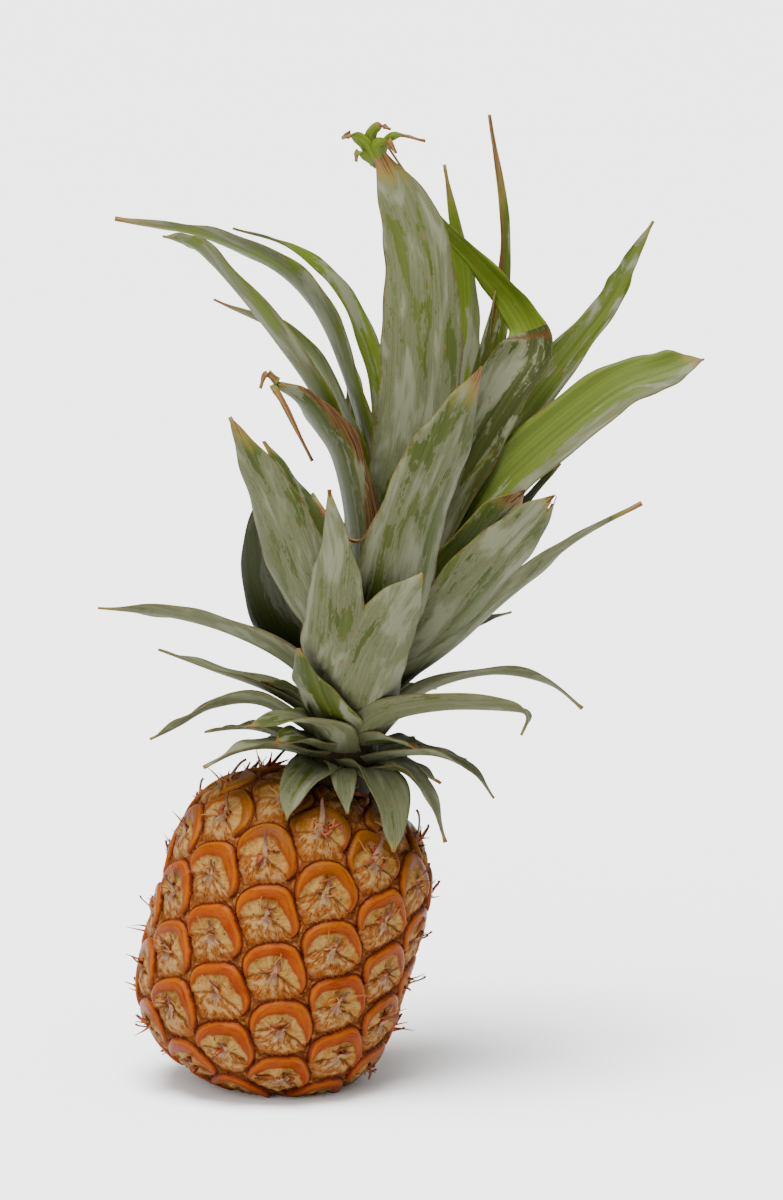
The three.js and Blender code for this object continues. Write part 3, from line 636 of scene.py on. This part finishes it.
def hair_tubes():
    """Tapering tubes, some flattened to flakes, along p(u) = foot + u L d + u^2 c, where d leans from the
    skin's normal and c curls away from it."""
    points, faces, looks = [], [], []
    rng = np.random.default_rng(23)
    u = np.linspace(0, 1, HAIR_STEPS)[:, None]
    turns = np.linspace(0, 2 * np.pi, HAIR_SIDES, endpoint=False)
    count = 0
    for eye in range(eye_count):
        low = (eye_point[eye] + FRUIT_CENTRE)[2] < HAIR_LOWEST_HEIGHT
        if low or eye_level[eye] > HAIR_HIGHEST_LEVEL:
            continue
        for _ in range(6 + int(4 * rng.random() + 6 * eased(eye_level[eye], 0.3, 0.9))):
            draw = rng.random(8)
            aside, above = (draw[0] - 0.5) * 7, -1.5 + 4 * draw[1]
            foot = eye_point[eye] + aside * eye_right[eye] + above * eye_up[eye]
            skin, normal = skin_at(foot[None])
            lean = (draw[2] - 0.5) * 2.2 * eye_right[eye] + (draw[3] - 0.3) * 1.6 * eye_up[eye]
            way = unit(normal[0] * 0.75 + lean)
            curl = unit(rng.normal(size=3) - 0.4 * normal[0]) * (1 + 4.5 * draw[4])
            length = 2.6 + 4.2 * draw[5] ** 1.4
            spine = skin[0] + FRUIT_CENTRE + normal[0] * 0.2 + u * length * way + u**2 * curl * length / 6
            ahead = unit(np.gradient(spine, axis=0))
            across = unit(np.cross(ahead, eye_up[eye] + 0.01))
            rise = np.cross(across, ahead)
            radius = (0.42 + 0.2 * draw[6]) * (1 - 0.8 * u)
            breadth = radius * (1 + 2.0 * (draw[7] > 0.4))
            ring = spine[:, None] + (breadth * np.cos(turns))[..., None] * across[:, None]
            ring = ring + (radius * np.sin(turns))[..., None] * rise[:, None]
            faces += tube_faces(HAIR_STEPS, HAIR_SIDES, count)
            count += HAIR_STEPS * HAIR_SIDES
            points.append(ring.reshape(-1, 3))
            looks.append(np.repeat(np.hstack([u, 0 * u + draw[7], u * length]), HAIR_SIDES, axis=0))
    points = np.vstack(points)
    points[:, 2] = np.maximum(points[:, 2], LOOSE_HEIGHT)
    return points * MM, faces, {"hair_look": np.vstack(looks)}


def hair_material():
    """Brittle dry fibre, from straw to red-brown, darker to the end, with fine bands."""
    made, tree, shader = new_material("dry_hair")
    share, tone, run = attribute(tree, "hair_look")
    bands = noise(joined(run, tone * 50.0, 0.0), 2.5, 3.0)
    base = mixed(ramped(tone, 0.25, 0.7), (214, 138, 66), (170, 66, 14))
    end, band = ramped(share, 0.4, 1.0), ramped(bands, 0.5, 0.7)
    base = tinted(base, ((92, 32, 8), end, tone), ((206, 152, 96), band, 0.6))
    set_surface(shader, base, bands * 0.4 + 0.4)
    shader.inputs["Specular IOR Level"].default_value = 0.15
    return made


hair_points, hair_faces, hair_attributes = hair_tubes()
new_piece("fruit_spines", hair_points, hair_faces, hair_material(), hair_attributes)


# The cut stalk: a short stump of tough fibres in the foot of the fruit, cut level with the base.


def stalk_material():
    """A dry cut across bundles of fibre: pale dots in mottled brown pith."""
    made, tree, shader = new_material("stalk_fibre")
    place = object_place(tree)
    dots = new_value(tree, "ShaderNodeTexVoronoi", {"Vector": place, "Scale": 900.0}, output="Distance")
    blotch = noise(place, 240.0, 4.0, 0.6)
    base = mixed(ramped(blotch, 0.35, 0.65), (150, 116, 70), (106, 74, 42))
    base = mixed(ramped(dots, 0.35, 0.15), base, (204, 178, 128))
    set_surface(shader, base, blotch * 0.3 + 0.6, bumped(dots, 0.0004, 0.7))
    return made


for stalk_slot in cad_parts["cut_stalk"].material_slots:
    stalk_slot.material = stalk_material()


# The leaves of the crown: stiff channelled blades of tough fibre, each clasping the stem with a broad
# foot and tapering to a dry point. A silver bloom of fine scales covers them, rubbed off in patches.
# Midribs run through points in mm, from a root "seat" up the stem and "turn" degrees round it. Of a leaf's
# shares, "bloom" is its silver, "fresh" its bright green, "dry" its dead tip, "torn" what is torn off,
# "shade" the painted shade that darkens it, "crease" where it folds, "halved" more silver on one half,
# "burnt" a brown margin.

STEM_LENGTH = 80.0
STEM_FOOT_RADIUS = 13.0
STEM_TOP_RADIUS = 6.5
LEAF_ROOT_DEPTH = 3.0
LEAF_TIP_WIDTH = 1.2
LEAF_NECK_SHARE = 0.92
LEAF_NECK_END = 0.22
LEAF_CHANNEL_FOOT = 0.42
LEAF_CHANNEL_TIP = 0.2
LEAF_WAVE_HEIGHT = 0.5
LEAF_WAVES = 2.5
BLADE_THICKNESS_FOOT = 2.0
BLADE_THICKNESS_TIP = 0.9
BLADE_EDGE_THICKNESS = 0.4
LEAF_ROW_LENGTH = 1.7
LEAF_LEAST_ROWS = 22
LEAF_COLUMNS = 13
TORN_COLUMNS = 25
LEAF_MARKS = {
    "leaf_tone": {"bloom": 0.7, "fresh": 0.2, "dry": 0.02},
    "leaf_shade": {"shade": 0.0, "crease": -1.0, "halved": 0.0},
}


def new_leaf(name, turn, seat, width, midrib, **look):
    """A leaf: its root's turn and seat, its width, the points of its midrib, and what else it has."""
    return dict(name=name, turn=turn, seat=seat, width=width, midrib=midrib, **look)


LEAVES = [
    new_leaf("top_small", 55, 74, 9, [(51, 14, 214), (65, 20, 248), (72, 22, 280)]),
    new_leaf("top_back", 82, 72, 29, [(47, 16, 207), (58, 26, 244), (61, 34, 279), (54, 38, 323)],
             bluntness=1.3, bloom=0.35, fresh=1.0, halved=0.25),
    new_leaf("top_folded", 38, 68, 30,
             [(49, 9, 201), (63, 12, 228), (76, 14, 249), (84, 17, 262),
              (79, 21, 275), (66, 24, 290), (50, 26, 307), (33, 24, 332)],
             bluntness=1.15, roll=[15, 40, 40, 30, 20], bloom=0.85, fresh=0.7, crease=0.54, halved=-0.06),
    new_leaf("top_narrow", 64, 66, 11, [(56, 24, 205), (70, 36, 246), (76, 44, 295), (70, 46, 340)],
             bloom=0.4, fresh=0.5, burnt=-0.5, dry=0.12),
    new_leaf("left_upper", 120, 66, 12,
             [(32, 22, 212), (30, 34, 247), (18, 40, 277), (0, 42, 293), (-21, 42, 300)],
             bloom=0.6, fresh=0.9),
    new_leaf("top_tall", -88, 64, 29,
             [(39, -14, 204), (44, -18, 237), (46, -17, 270), (43, -12, 305), (29, -4, 335)],
             bluntness=6, bloom=0.85, dry=0.05, torn=0.03, fresh=0.3),
    new_leaf("right_wavy", 42, 60, 17,
             [(54, 16, 196), (75, 26, 226), (96, 32, 253), (113, 35, 275), (120, 37, 289), (128, 38, 303)],
             roll=[10, 20], bloom=0.8, fresh=0.5, bluntness=2.2),
    new_leaf("left_long", 165, 58, 20,
             [(29, 14, 206), (19, 22, 250), (3, 27, 281), (-27, 27, 298), (-62, 25, 305)],
             bluntness=3, roll=[0, 35, 40], bloom=0.6, fresh=0.8, dry=0.04),
    new_leaf("right_bright", 8, 55, 21,
             [(58, 3, 193), (80, 5, 219), (112, 8, 245), (132, 10, 253), (145, 11, 257)],
             bluntness=4.5, roll=[30, 55, 50], bloom=0.3, fresh=0.65, dry=0.06, halved=0.3),
    new_leaf("left_hooked", -176, 54, 20,
             [(25, -3, 202), (12, -7, 240), (-4, -9, 266), (-25, -9, 292), (-35, -8, 300), (-44, -7, 302)],
             bluntness=2.6, roll=[0, 40], bloom=0.6, fresh=0.6),
    new_leaf("left_inner", 172, 49, 20, [(26, 7, 198), (18, 10, 236), (2, 12, 263), (-27, 12, 278)],
             roll=[0, 40], bloom=0.5, dry=0.06, fresh=0.7, bluntness=3),
    new_leaf("left_torn", -160, 46, 25,
             [(22, -12, 196), (18, -16, 223), (12, -19, 236), (5, -21, 246), (-5, -23, 253)],
             bluntness=3.5, roll=[0, 35], bloom=0.3, dry=0.04, torn=0.05, burnt=-0.3),
    new_leaf("right_torn", -5, 46, 24, [(56, -3, 181), (70, -4, 199), (82, -5, 213)],
             bluntness=5, roll=[-20, -45], bloom=0.3, fresh=0.4, dry=0.14, torn=0.1),
    new_leaf("front_right", -62, 40, 29, [(36, -34, 172), (43, -46, 206), (54, -51, 235), (66, -52, 262)],
             bluntness=4.5, bloom=0.62, dry=0.06),
    new_leaf("right_dark", 25, 40, 18, [(60, 13, 175), (80, 22, 201), (95, 28, 218)], bloom=0.1, shade=0.5),
    new_leaf("right_broad", -36, 35, 26, [(51, -22, 166), (65, -30, 184), (80, -35, 202), (92, -37, 216)],
             bluntness=4, roll=[-15, -40], bloom=0.7, torn=0.06, dry=0.05),
    new_leaf("front_left", -135, 34, 35, [(16, -29, 162), (4, -39, 187), (-7, -45, 217), (-20, -47, 244)],
             bluntness=2.6, roll=[10, 30], bloom=0.85),
    new_leaf("left_dark", -172, 33, 30, [(6, -9, 160), (-2, -13, 174), (-5, -16, 196), (-5, -16, 219)],
             bluntness=5, roll=[60, 88], bloom=0.2, shade=0.95),
    new_leaf("right_slender", -14, 30, 24,
             [(54, -10, 157), (76, -16, 178), (98, -20, 197), (122, -24, 211)],
             bluntness=1.1, roll=[-10, -35], bloom=0.8),
    new_leaf("front_short", -108, 26, 26, [(14, -38, 156), (15, -50, 178), (16, -54, 198), (14, -54, 220)],
             bluntness=2.4, bloom=0.85),
    new_leaf("left_flat", -170, 24, 25, [(-3, -9, 154), (-23, -14, 165), (-44, -16, 171), (-67, -16, 173)],
             roll=[0, 40], bloom=1.25),
    new_leaf("front_low", -78, 19, 27, [(25, -36, 147), (31, -48, 165), (38, -52, 179), (46, -53, 191)],
             bluntness=3.4, bloom=0.95),
    new_leaf("right_arched", -10, 17, 17, [(47, -6, 142), (70, -10, 149), (90, -13, 146), (102, -14, 137)],
             roll=[0, -25], bloom=1.25),
    new_leaf("low_left_back", 172, 15, 19, [(-7, 5, 140), (-27, 8, 147), (-47, 10, 154)], bloom=1.25),
    new_leaf("low_front_olive", -122, 14, 25, [(11, -27, 138), (6, -37, 150), (3, -42, 163)],
             bluntness=2.4, bloom=0.2),
    new_leaf("hooked_right", -46, 12, 22,
             [(33, -24, 135), (52, -34, 141), (73, -41, 142), (82, -43, 140), (80, -44, 133)],
             bluntness=1.5, roll=[0, -30], bloom=1.25),
    new_leaf("low_left_bent", -165, 11, 20,
             [(-10, -9, 138), (-27, -15, 138), (-39, -18, 132), (-49, -19, 127)], roll=[0, 35], bloom=1.25),
    new_leaf("low_front_left", -112, 8, 20, [(11, -25, 133), (-2, -34, 137), (-15, -39, 135)], bloom=1.25),
    new_leaf("low_right_thin", -26, 6, 13, [(38, -15, 121), (52, -22, 122), (64, -27, 117), (71, -29, 108)],
             bloom=1.25),
    new_leaf("low_left_short", 160, 6, 14, [(-10, 11, 125), (-20, 15, 125), (-31, 18, 123)], bloom=1.25),
    new_leaf("low_left_front", -148, 5, 16, [(-6, -17, 124), (-18, -25, 124), (-30, -30, 119)],
             roll=[0, 20], bloom=1.25),
    new_leaf("drop_left", -128, 2, 19, [(8, -21, 116), (2, -33, 111), (-1, -42, 103)],
             bluntness=2.2, bloom=1.25),
    new_leaf("drop_front", -96, 2, 13, [(18, -20, 116), (19, -30, 110), (20, -36, 104)],
             bluntness=1.6, bloom=1.25),
    new_leaf("drop_right", -64, 3, 18, [(29, -19, 115), (35, -31, 105), (36, -39, 91)],
             bluntness=3.4, bloom=1.25),
    new_leaf("drop_right_edge", -38, 1, 12, [(39, -18, 116), (49, -27, 107), (54, -32, 93)], bloom=1.25),
]


def crown_point(climb, turn, radius):
    """A point beside the stem: a climb up its axis and a radius out at a turn in degrees."""
    angle = math.radians(turn)
    out = math.cos(angle) * CROWN_ACROSS + math.sin(angle) * SIDE
    return CROWN_FOOT + climb * CROWN_AXIS + radius * out


def stem_radius(climb):
    """The stem's radius at a climb, which shrinks evenly to its top."""
    return STEM_FOOT_RADIUS + (STEM_TOP_RADIUS - STEM_FOOT_RADIUS) * climb / STEM_LENGTH


def back_leaves(count=13, turn_start=44, turn_range=92):
    """The leaves behind, 50 to 116 mm long, that climb 4 to 60 degrees and turn by the golden share."""
    leaves = []
    for number in range(count):
        share = number / (count - 1)
        turn = turn_start + turn_range * ((number * 0.618) % 1)
        seat, length, climb = 4 + 50 * share, 50 + 66 * share, math.radians(4 + 56 * share)
        root = crown_point(seat, turn, stem_radius(seat))
        outward = crown_point(0, turn, 1) - CROWN_FOOT
        midrib = [
            root + length * part * math.cos(climb) * outward
            + (length * part * math.sin(climb) + 0.1 * length * math.sin(math.pi * part)) * CROWN_AXIS
            for part in (0.34, 0.67, 1)
        ]
        leaves.append(new_leaf(f"back_{number + 1:02d}", turn, seat, 13 + 9 * share, midrib, bloom=0.6))
    return leaves


def collar_leaves(count=8, length=24):
    """The short leaves that clasp the crown's foot, 137.5 degrees apart and ever flatter further down."""
    leaves = []
    for number in range(count):
        turn = number * 137.5 - 100
        seat, climb = 21 - 2.6 * number, math.radians(33 - 6 * number)
        root = crown_point(seat, turn, stem_radius(seat))
        outward = crown_point(0, turn, 1) - CROWN_FOOT
        midrib = [
            root + length * part * math.cos(climb) * outward
            + (length * part * math.sin(climb) + 2.5 * math.sin(math.pi * part)) * CROWN_AXIS
            for part in (0.5, 1)
        ]
        leaves.append(
            new_leaf(f"collar_{number + 1}", turn, seat, 19, midrib, bluntness=2.4, bloom=0.75, dry=0.12)
        )
    return leaves


def smooth_through(places, shares):
    """A curve through places; its slope at each is half the step from the place before to the one after."""
    ends = np.vstack([2 * places[0] - places[1], places, 2 * places[-1] - places[-2]])
    along = shares * (len(places) - 1)
    low = np.minimum(along.astype(int), len(places) - 2)
    w = (along - low)[:, None]
    before, start, end, after = (ends[low + step] for step in range(4))
    slope_in, slope_out = (end - before) / 2, (after - start) / 2
    point = (2 * w**3 - 3 * w**2 + 1) * start + (3 * w**2 - 2 * w**3) * end
    point = point + (w**3 - 2 * w**2 + w) * slope_in + (w**3 - w**2) * slope_out
    slope = (6 * w**2 - 6 * w) * (start - end)
    slope = slope + (3 * w**2 - 4 * w + 1) * slope_in + (3 * w**2 - 2 * w) * slope_out
    return point, unit(slope)


def add_blade(name, leaf):
    """Adds two skins over u along the midrib and v across: midrib(u) + v w(u) a + (c(u) v^2 + wave v^3
    +- t/2) f. The half width w falls as 1 - u^bluntness, c is the channel, f the face, turned by the roll.
    A torn leaf's last part is cut short by a ragged share that changes over v."""
    root = crown_point(leaf["seat"], leaf["turn"], stem_radius(leaf["seat"]) - LEAF_ROOT_DEPTH)
    outward = crown_point(0, leaf["turn"], 1) - CROWN_FOOT
    places = np.vstack([leaf.get("root", root), np.array(leaf["midrib"], dtype=float)])
    length = np.linalg.norm(np.diff(places, axis=0), axis=1).sum()
    rows = max(LEAF_LEAST_ROWS, round(length / LEAF_ROW_LENGTH))
    torn = leaf.get("torn", 0)
    columns = TORN_COLUMNS if torn else LEAF_COLUMNS
    rng = np.random.default_rng(int(leaf["seat"] * 31 + leaf["width"] * 7))
    share = np.linspace(0, 1, rows + 1)
    across = np.linspace(-1, 1, columns)
    ragged = rng.random(columns) * np.interp(np.arange(columns), [0, 3, 9, 15, 21, 24], rng.random(6))
    u = np.outer(share, 1 - torn * 2 * ragged)
    v = np.broadcast_to(across, u.shape)
    flat = u.ravel()
    centre, tangent = smooth_through(places, flat)
    face = np.outer(tangent @ outward, CROWN_AXIS) - np.outer(tangent @ CROWN_AXIS, outward)
    face = unit(face - (face * tangent).sum(1)[:, None] * tangent)
    rolls = np.array(leaf.get("roll", [0]), dtype=float)
    roll = np.radians(np.interp(flat * (len(rolls) - 1), np.arange(len(rolls)), rolls))[:, None]
    face = np.cos(roll) * face + np.sin(roll) * np.cross(tangent, face)
    side = unit(np.cross(tangent, face))
    neck = LEAF_NECK_SHARE + (1 - LEAF_NECK_SHARE) * eased(u, 0, LEAF_NECK_END)
    half = leaf["width"] / 2 * neck * (1 - u ** leaf.get("bluntness", 1.8))
    drift = 0.35 * np.sin(u * length / 6.5 + rng.random() * 6)
    drift = drift + 0.25 * np.sin(u * length / 2.9 + rng.random() * 6)
    half = np.maximum(half + drift * np.abs(v) * eased(half, 1.0, 4.0), LEAF_TIP_WIDTH / 2)
    channel = (LEAF_CHANNEL_FOOT + (LEAF_CHANNEL_TIP - LEAF_CHANNEL_FOOT) * u) * half
    wave = LEAF_WAVE_HEIGHT * np.sin(2 * np.pi * LEAF_WAVES * u + leaf["seat"])
    frill = 0.45 * np.sin(u * length / 5.2 + 3 * v) * v**4 * eased(half, 1.5, 5.0)
    ribs = 0.012 * np.cos(v * half * 3.4) * (1 - v**2) * eased(half, 1.5, 5.0)
    thick = BLADE_THICKNESS_FOOT + (BLADE_THICKNESS_TIP - BLADE_THICKNESS_FOOT) * u
    thick = thick + (BLADE_EDGE_THICKNESS - thick) * v**2
    tone = rng.random(3)[-1]
    skins, looks = [], []
    for skin in (1, -1):
        rise = channel * v**2 + wave * v**3 + frill + skin * (thick / 2 + ribs)
        place = centre + (v * half).ravel()[:, None] * side + rise.ravel()[:, None] * face
        skins.append(place.reshape(*u.shape, 3))
        looks.append(np.stack([v * half, u * length, v, u, 0 * u + skin, 0 * u + tone], axis=-1))
    ring = np.concatenate([skins[0], skins[1][:, ::-1]], axis=1).reshape(-1, 3)
    look = np.concatenate([looks[0], looks[1][:, ::-1]], axis=1).reshape(-1, 6)
    attributes = {"leaf_place": look[:, :3], "leaf_run": look[:, 3:]}
    for title, marks in LEAF_MARKS.items():
        values = [leaf.get(mark, usual) for mark, usual in marks.items()]
        attributes[title] = np.tile(values, (len(ring), 1))
    attributes["leaf_burn"] = np.full(len(ring), leaf.get("burnt", 0.0))
    return new_piece(name, ring * MM, tube_faces(rows + 1, 2 * columns), crown_leaf, attributes)


def leaf_material():
    """Green blade under silver bloom: the bloom is streaked and rubbed off in long sharp patches, veins run
    lengthwise, the margin is a thin yellow-brown line, and the tip and torn ends are dry and brown. Painted
    shade darkens the leaves that stand in shadow towards black-green."""
    made, tree, shader = new_material("crown_leaf")
    offset, run, v = attribute(tree, "leaf_place")
    u, skin, draw = attribute(tree, "leaf_run")
    bloom, fresh, dry = attribute(tree, "leaf_tone")
    shade, crease, halved = attribute(tree, "leaf_shade")
    burnt = attribute(tree, "leaf_burn")[0]
    beyond = (u > crease) * (crease > 0.0)
    bloom = bloom * (beyond * -0.8 + 1.0)
    place = joined(offset, run, skin * 3.0 + draw * 90.0)
    veins = noise(stretched(place, (3.6, 0.03, 1.0)), 1.0, 3.0, 0.6)
    broad_veins = noise(stretched(place, (0.75, 0.012, 1.0)), 1.0, 2.0)
    patches = noise(stretched(place, (0.17, 0.034, 1.0)), 1.0, 3.0, 0.55, 0.5)
    scuffs = noise(stretched(place, (1.1, 0.26, 1.0)), 1.0, 4.0, 0.65, 0.8)
    grit = noise(place, 2.6, 2.0, 0.6)
    blots = noise(stretched(place, (0.5, 0.3, 1.0)), 1.0, 2.0)

    green = mixed(ramped(broad_veins, 0.3, 0.7), (56, 64, 14), (80, 88, 30))
    lively = mixed(ramped(broad_veins, 0.3, 0.7), (104, 126, 16), (128, 148, 40))
    green = mixed(fresh * ramped(crease, 0.0, -0.5), green, lively)
    green = mixed(beyond, green, lively)
    green = tinted(green, ((150, 150, 92), ramped(u, 0.22, 0.0), 0.5))
    silver = mixed(ramped(veins, 0.3, 0.7), (108, 111, 76), (128, 131, 96))
    silver = mixed(ramped(patches, 0.5, 0.36), silver, (150, 153, 122))
    cover = bloom * 0.26 + skin * -0.05 + ramped(u, 0.4, 0.1) * 0.09 + v * halved + 0.325
    worn = (scuffs - 0.5) * 0.3 + patches
    scratches = noise(stretched(place, (1.9, 0.4, 1.0)), 1.0, 3.0, 0.6, 1.0)
    scratched = ramped((patches - 0.5) * 0.5 + scratches, 0.63, 0.645)
    covered = ramped(cover - worn, -0.006, 0.006) * (scratched * -0.85 + 1.0)
    shown = calc("MAXIMUM", covered * 0.94, bloom * 0.07)
    base = mixed(shown, green, silver)
    base = tinted(base, ((62, 64, 36), ramped(veins, 0.42, 0.34), 0.16))

    margin = ramped((scuffs - 0.5) * 0.12 + abs(v), 0.93, 0.985)
    rim = mixed(ramped(blots, 0.4, 0.6), (126, 130, 54), (112, 74, 30))
    ragged = (worn - 0.5) * 1.6 + v * calc("SIGN", burnt) + abs(burnt) - 1.0
    singed = mixed(ramped(veins, 0.36, 0.64), (78, 44, 18), (146, 106, 54))
    past_tip = (worn - 0.5) * 0.22 + u - (1.0 - dry)
    straw = mixed(ramped(veins, 0.4, 0.6), (104, 66, 32), (176, 134, 78))
    bent = abs(scuffs * 0.04 + u - crease)
    base = tinted(
        base,
        (rim, margin, 0.6),
        ((136, 118, 34), ramped(ragged, -0.16, 0.0), 0.6),
        (singed, ramped(ragged, -0.03, 0.02), 1.0),
        ((158, 142, 62), ramped(past_tip, -0.08, 0.0), 0.7),
        (straw, ramped(past_tip, -0.03, 0.02), 1.0),
        ((52, 40, 22), ramped(grit, 0.69, 0.74) * ramped(patches, 0.45, 0.6), 0.8),
        ((150, 98, 44), ramped(blots, 0.68, 0.74), 0.5),
        ((112, 74, 28), ramped(bent, 0.014, 0.004), 0.85),
        # Painted shade: a leaf that stands in shadow is darkened towards black-green.
        ((26, 28, 12), shade, 0.8),
    )
    relief = grit * 0.3 + veins
    set_surface(shader, base, shown * 0.22 + 0.42, bumped(relief, 0.0003, 0.5))
    shader.inputs["Specular IOR Level"].default_value = 0.1
    return made


crown_leaf = leaf_material()
for leaf in LEAVES + back_leaves() + collar_leaves():
    blade = add_blade("blade_" + leaf["name"], leaf)
    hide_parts("leaf_" + leaf["name"])


# Torn strips: the tall leaf's tip has split into dry yellow-green ribbons that curl both ways, and a few
# brown threads hang from the torn margins lower down.

THREAD_WIDTH = 3.2
TORN_STRIPS = [
    (5, [(30, -5, 327), (26, -6, 334), (21, -7, 337), (18, -7, 336)]),
    (4.5, [(30, -5, 328), (28, -4, 336), (31, -5, 340), (35, -6, 339)]),
    (3.6, [(31, -3, 326), (33, -5, 334), (38, -7, 337), (47, -8, 335)]),
    (3.2, [(30, -4, 326), (24, -7, 331), (23, -8, 328)]),
    (4.5, [(32, -4, 326), (30, -7, 333), (34, -9, 335), (37, -8, 331)]),
    (1.6, [(8, -24, 214), (15, -36, 205), (24, -40, 200), (30, -40, 208), (33, -38, 213)]),
    (2.4, [(-6, -23, 252), (-2, -25, 246), (3, -26, 236), (8, -26, 226)]),
    (3.0, [(-4, -23, 253), (-8, -24, 256), (-10, -24, 251)]),
]
for number, (width, (root, *midrib)) in enumerate(TORN_STRIPS):
    dry = 0.9 if width < THREAD_WIDTH else 0.3
    look = {"root": root, "bluntness": 2.5, "bloom": 0.0, "fresh": 0.95, "dry": dry}
    strip = new_leaf(f"torn_strip_{number + 1}", -88, 60 + number, width, midrib, **look)
    add_blade(strip["name"], strip)


# The crown's stem: a pale green core, ringed by the scars of its leaves, that tapers up from its seat in
# the fruit. It is painted dark brown-olive, partly for the dry leaf bases and partly as painted shade in
# the neck. The youngest leaves are still closed round its top.

HEART_SEAT = STEM_LENGTH - 12
STEM_SINK = 7.0
STEM_ROWS = 90
STEM_SIDES = 48


def stem_surface():
    """Rings up the axis with a small ridge at each leaf scar, closed to a point at both ends."""
    climb = np.linspace(-STEM_SINK, STEM_LENGTH, STEM_ROWS)[:, None]
    turn = np.linspace(0, 2 * np.pi, STEM_SIDES, endpoint=False)[None]
    radius = stem_radius(np.maximum(climb, 0))
    scars = 0.35 * np.abs(np.sin(climb * 0.75 + 2 * turn)) ** 6
    ends = np.sqrt(np.minimum(climb + STEM_SINK, STEM_LENGTH - climb) / 1.5)
    radius = (radius - 0.4 + scars) * np.minimum(1, ends + 0.05)
    out = np.cos(turn)[..., None] * CROWN_ACROSS + np.sin(turn)[..., None] * SIDE
    place = CROWN_FOOT + climb[..., None] * CROWN_AXIS + radius[..., None] * out
    return place.reshape(-1, 3)


def heart_leaves(count=5, length=34.0):
    """The closed young leaves at the top: narrow, nearly upright, one inside the other."""
    leaves = []
    for number in range(count):
        turn = (number * 222.5) % 360
        start = crown_point(HEART_SEAT, turn, 2)
        way = unit(crown_point(0, turn, 0.16) - CROWN_FOOT + CROWN_AXIS)
        midrib = [start + way * length * (1 - 0.09 * number) * part for part in (0.4, 0.7, 0.98)]
        leaves.append(new_leaf(f"heart_{number + 1}", turn, HEART_SEAT, 6.5, midrib, bloom=0.2, fresh=0.9))
    return leaves


def stem_material():
    """Dark brown-olive flesh with lengthwise fibres and darker brown blotches: partly dry leaf bases,
    partly painted shade in the neck.
    """
    made, tree, shader = new_material("crown_stem_flesh")
    place = object_place(tree)
    fibres = noise(stretched(place, (900.0, 900.0, 90.0)), 1.0, 3.0)
    blotch = noise(place, 130.0, 3.0)
    # Dark brown-olive: partly dry leaf bases, partly painted shade in the neck.
    base = mixed(ramped(fibres, 0.35, 0.65), (44, 34, 16), (74, 60, 30))
    base = mixed(ramped(blotch, 0.5, 0.7), base, (46, 28, 12))
    set_surface(shader, base, fibres * 0.3 + 0.55, bumped(fibres, 0.0005, 0.8))
    shader.inputs["Specular IOR Level"].default_value = 0.08
    return made


stem = new_piece(
    "crown_core", stem_surface() * MM, tube_faces(STEM_ROWS, STEM_SIDES), stem_material(), {},
)
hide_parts("crown_stem")
for leaf in heart_leaves():
    add_blade("blade_" + leaf["name"], leaf)

bpy.context.view_layer.update()
